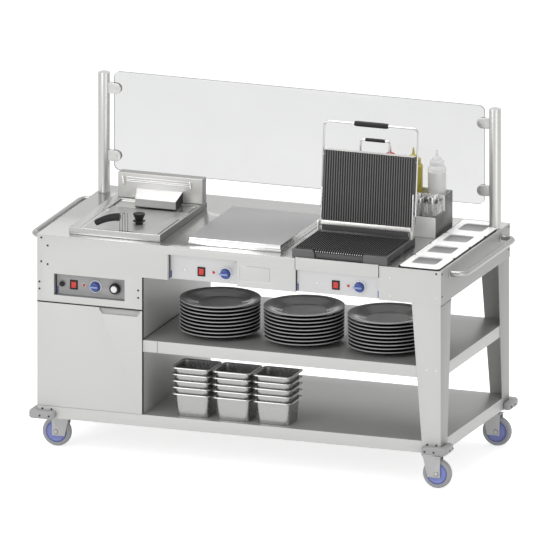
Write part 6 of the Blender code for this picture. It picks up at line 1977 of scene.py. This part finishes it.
@dataclass
class Crockery:
    """Stacks of plates and stacks of pans."""

    stacks: int = 3
    plates: int = 9
    plate_pitch: float = 0.0156
    shade_reach: float = 0.1635
    highlight_reach: float = 0.1665
    plate: Pairs = (
        (0.0, 0.0035), (0.09, 0.0035), (0.0915, 0.0), (0.0955, 0.0), (0.0985, 0.0035),
        (0.118, 0.0075), (0.14, 0.0155), (0.158, 0.0195), (0.166, 0.0212), (0.1688, 0.0232),
        (0.169, 0.0252), (0.1672, 0.0268), (0.164, 0.0268), (0.14, 0.0232), (0.136, 0.022),
        (0.098, 0.0092), (0.0935, 0.0084), (0.0905, 0.007), (0.0, 0.0068))
    pans: int = 5
    pan_pitch: float = 0.0278
    pan_half: Pair = (0.088, 0.081)
    pan_rings: Sequence[Point] = (
        (0.0225, 0.018, 0.0), (0.02, 0.02, 0.0018), (0.019, 0.022, 0.0065),
        (0.0135, 0.022, 0.088), (0.0125, 0.022, 0.097), (0.0105, 0.022, 0.0988),
        (0.0012, 0.02, 0.0988), (0.0, 0.02, 0.0955))
    pan_sheet: float = 0.0009

    def build(self) -> None:
        """Build all stacks."""
        plate = turned("plate", self.plate, Matrix.Identity(4), 96, 22.0)
        for stack in range(self.stacks):
            self.build_plates(plate, stack)
        pan = self.build_pan()
        for stack in range(self.stacks):
            node = f"pan_stack_{stack + 1}"
            spot, foot = middle(node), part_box(node)[0].z
            heap = [copied(pan, "pan", (spot.x, spot.y, foot + index * self.pan_pitch))
                    for index in range(self.pans)]
            dress(fused(f"pans_{stack + 1}", heap), Look.PAN_STEEL, "polished_steel", node)
        for pattern in (plate, pan):
            bpy.data.objects.remove(pattern)

    def build_plates(self, plate: Any, stack: int) -> None:
        """Build one stack of plates, with painted shade between the rims and a painted highlight on
        the rims' edges.

        Args:
            plate: The plate that is copied.
            stack: The stack's number, from 0.
        """
        node = f"dish_stack_{stack + 1}"
        spot, foot = middle(node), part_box(node)[0].z
        heap = [copied(plate, "plate", (spot.x, spot.y, foot + index * self.plate_pitch),
                       index * 0.37 + stack) for index in range(self.plates)]
        pile = dress(fused(f"plates_{stack + 1}", heap), Look.CROCKERY, "slate_ceramic", node)
        top_plate = foot + (self.plates - 1) * self.plate_pitch

        def reach(face: Any) -> float:
            """Return how far a face is from the stack's axis."""
            return (face.center.xy - spot.xy).length

        def underside_or_shaded(face: Any) -> bool:
            """Tell whether a face looks down or lies between two plates."""
            return face.normal.z < -0.35 or (reach(face) < self.shade_reach
                                             and face.center.z < top_plate)

        # Downward faces take the dark unglazed finish; faces between the plates take it as painted
        # shade.
        repaint(pile, Look.CROCKERY_UNDERSIDE_AND_SHADE, underside_or_shaded)
        # Painted highlight: the rims' outer edges take a paler glaze.
        repaint(pile, Look.CROCKERY_RIM_HIGHLIGHT,
                lambda face: reach(face) > self.highlight_reach and not underside_or_shaded(face))

    def build_pan(self) -> Any:
        """Build one small deep pan: tapered body, rounded corners and a flat rim.

        Returns:
            The object.
        """
        half_x, half_y = self.pan_half
        rings = [[(x, y, level) for x, y in rounded(half_x - inset, half_y - inset, radius, 7)]
                 for inset, radius, level in self.pan_rings]
        count = len(rings[0])
        deselect()
        bpy.ops.mesh.primitive_circle_add(vertices=count, fill_type="NGON")
        obj = bpy.context.object
        for vertex, spot in zip(obj.data.vertices, rings[0]):
            vertex.co = spot
        with editing():
            bpy.ops.mesh.inset(thickness=0.02)
        for number, ring in enumerate(rings[1:]):
            vertices = list(obj.data.vertices)
            outer = vertices[-count:] if number else vertices[:count]
            loop = {vertex.index for vertex in outer}
            for face in obj.data.polygons:
                face.select = False
            for vertex in vertices:
                vertex.select = vertex.index in loop
            for edge in obj.data.edges:
                edge.select = edge.vertices[0] in loop and edge.vertices[1] in loop
            bpy.ops.object.mode_set(mode="EDIT")
            bpy.ops.mesh.select_mode(type="VERT")
            bpy.ops.mesh.extrude_edges_move(TRANSFORM_OT_translate={"value": (0, 0, 0)})
            bpy.ops.object.mode_set(mode="OBJECT")
            for vertex, spot in zip([v for v in obj.data.vertices if v.select], ring):
                vertex.co = spot
        select_only(obj)
        with editing():
            bpy.ops.mesh.normals_make_consistent(inside=True)
        apply_modifier(obj, "SOLIDIFY", thickness=self.pan_sheet, offset=1.0)
        return smooth(settle("pan"), 40.0)


@dataclass
class Studio:
    """Camera, lamps, floor and surroundings."""

    view_width: float = 550 / 242.2
    azimuth: float = math.radians(20.0)
    elevation: float = math.radians(15.0)
    aim_right: float = 0.00615
    aim_up: float = 0.71491
    reach: float = 6.0
    lamps: tuple[tuple[str, Point, Point, float, float], ...] = (
        ("key_lamp", (-2.2, -4.6, 3.0), (0.0, 0.0, 0.6), 2.6, 88.0),
        ("fill_lamp", (3.8, -2.6, 1.3), (0.0, 0.0, 0.5), 2.4, 26.0),
        ("top_lamp", (0.0, 0.4, 4.2), (0.0, 0.0, 0.6), 2.6, 88.0))
    floor_size: float = 60.0
    floor_drop: float = 0.0005
    floor_colour: float = 0.85
    floor_glow: float = 0.62
    plain_light: float = 0.55

    def build(self) -> None:
        """Build the studio."""
        self.build_camera()
        self.build_lamps()
        self.build_floor()
        self.build_world()
        bpy.context.scene.view_settings.view_transform = "Standard"

    def build_camera(self) -> None:
        """Build the parallel camera at the photograph's angle."""
        back = Vector((math.sin(self.azimuth) * math.cos(self.elevation),
                       -math.cos(self.azimuth) * math.cos(self.elevation),
                       math.sin(self.elevation)))
        turn = (-back).to_track_quat("-Z", "Y")
        right, up = turn @ Vector((1, 0, 0)), turn @ Vector((0, 1, 0))
        data = bpy.data.cameras.new("catalogue_camera")
        data.type = "ORTHO"
        data.ortho_scale = self.view_width
        camera = bpy.data.objects.new("catalogue_camera", data)
        camera.rotation_mode = "QUATERNION"
        camera.rotation_quaternion = turn
        camera.location = right * self.aim_right + up * self.aim_up + back * self.reach
        bpy.context.scene.collection.objects.link(camera)
        bpy.context.scene.camera = camera

    def build_lamps(self) -> None:
        """Build the square soft lamps."""
        for name, place, aim, size, watts in self.lamps:
            data = bpy.data.lights.new(name, "AREA")
            data.shape = "SQUARE"
            data.size = size
            data.energy = watts
            lamp = bpy.data.objects.new(name, data)
            lamp.location = place
            lamp.rotation_mode = "QUATERNION"
            lamp.rotation_quaternion = (Vector(aim) - Vector(place)).to_track_quat("-Z", "Y")
            bpy.context.scene.collection.objects.link(lamp)

    def build_floor(self) -> None:
        """Build the pale floor, which the camera sees as white but for the shadow."""
        deselect()
        bpy.ops.mesh.primitive_plane_add(size=self.floor_size, location=(0, 0, -self.floor_drop))
        floor = settle("studio_floor")
        material = bpy.data.materials.new("floor_white")
        material.use_nodes = True
        nodes, links = material.node_tree.nodes, material.node_tree.links
        shader = nodes["Principled BSDF"]
        shader.inputs["Base Color"].default_value = (*[self.floor_colour] * 3, 1.0)
        shader.inputs["Roughness"].default_value = 0.9
        shader.inputs["Specular IOR Level"].default_value = 0.0
        glow = nodes.new("ShaderNodeEmission")
        glow.inputs["Strength"].default_value = self.floor_glow
        both = nodes.new("ShaderNodeAddShader")
        path = nodes.new("ShaderNodeLightPath")
        choose = nodes.new("ShaderNodeMixShader")
        for source, target in ((shader.outputs[0], both.inputs[0]),
                               (glow.outputs[0], both.inputs[1]),
                               (path.outputs["Is Diffuse Ray"], choose.inputs[0]),
                               (both.outputs[0], choose.inputs[1]),
                               (shader.outputs[0], choose.inputs[2]),
                               (choose.outputs[0], nodes["Material Output"].inputs["Surface"])):
            links.new(source, target)
        floor.data.materials.append(material)

    def build_world(self) -> None:
        """Build white surroundings for the camera and reflections, dimmer for plain light."""
        world = bpy.data.worlds.new("studio_world")
        bpy.context.scene.world = world
        world.use_nodes = True
        nodes, links = world.node_tree.nodes, world.node_tree.links
        ground = nodes["Background"]
        ground.inputs["Color"].default_value = (1.0, 1.0, 1.0, 1.0)
        path = nodes.new("ShaderNodeLightPath")
        first, second = (nodes.new("ShaderNodeMath") for _ in range(2))
        first.operation = second.operation = "MAXIMUM"
        strength = nodes.new("ShaderNodeMapRange")
        strength.inputs["To Min"].default_value = self.plain_light
        strength.inputs["To Max"].default_value = 1.0
        for source, target in ((path.outputs["Is Camera Ray"], first.inputs[0]),
                               (path.outputs["Is Glossy Ray"], first.inputs[1]),
                               (first.outputs[0], second.inputs[0]),
                               (path.outputs["Is Transmission Ray"], second.inputs[1]),
                               (second.outputs[0], strength.inputs["Value"]),
                               (strength.outputs[0], ground.inputs["Strength"])):
            links.new(source, target)


def main() -> None:
    """Build the sub-assemblies in order."""
    logging.basicConfig(level=logging.INFO, format="%(message)s")
    drawer = refined("grease_box", "grease_drawer", 0.0005)
    dress(drawer, Look.FRONT_STEEL, "pale_steel", "grease_drawer", body="drawer")
    for part in (Bodywork(), RunningGear(), Ends(), Screen(), Controls(), Fryer(), HotPlate(),
                 ContactGrill(), Sauces(), Ingredients(), Crockery()):
        part.build()
        LOG.info("%s done", type(part).__name__)
    Studio().build()
    deselect()


if __name__ == "__main__":
    main()
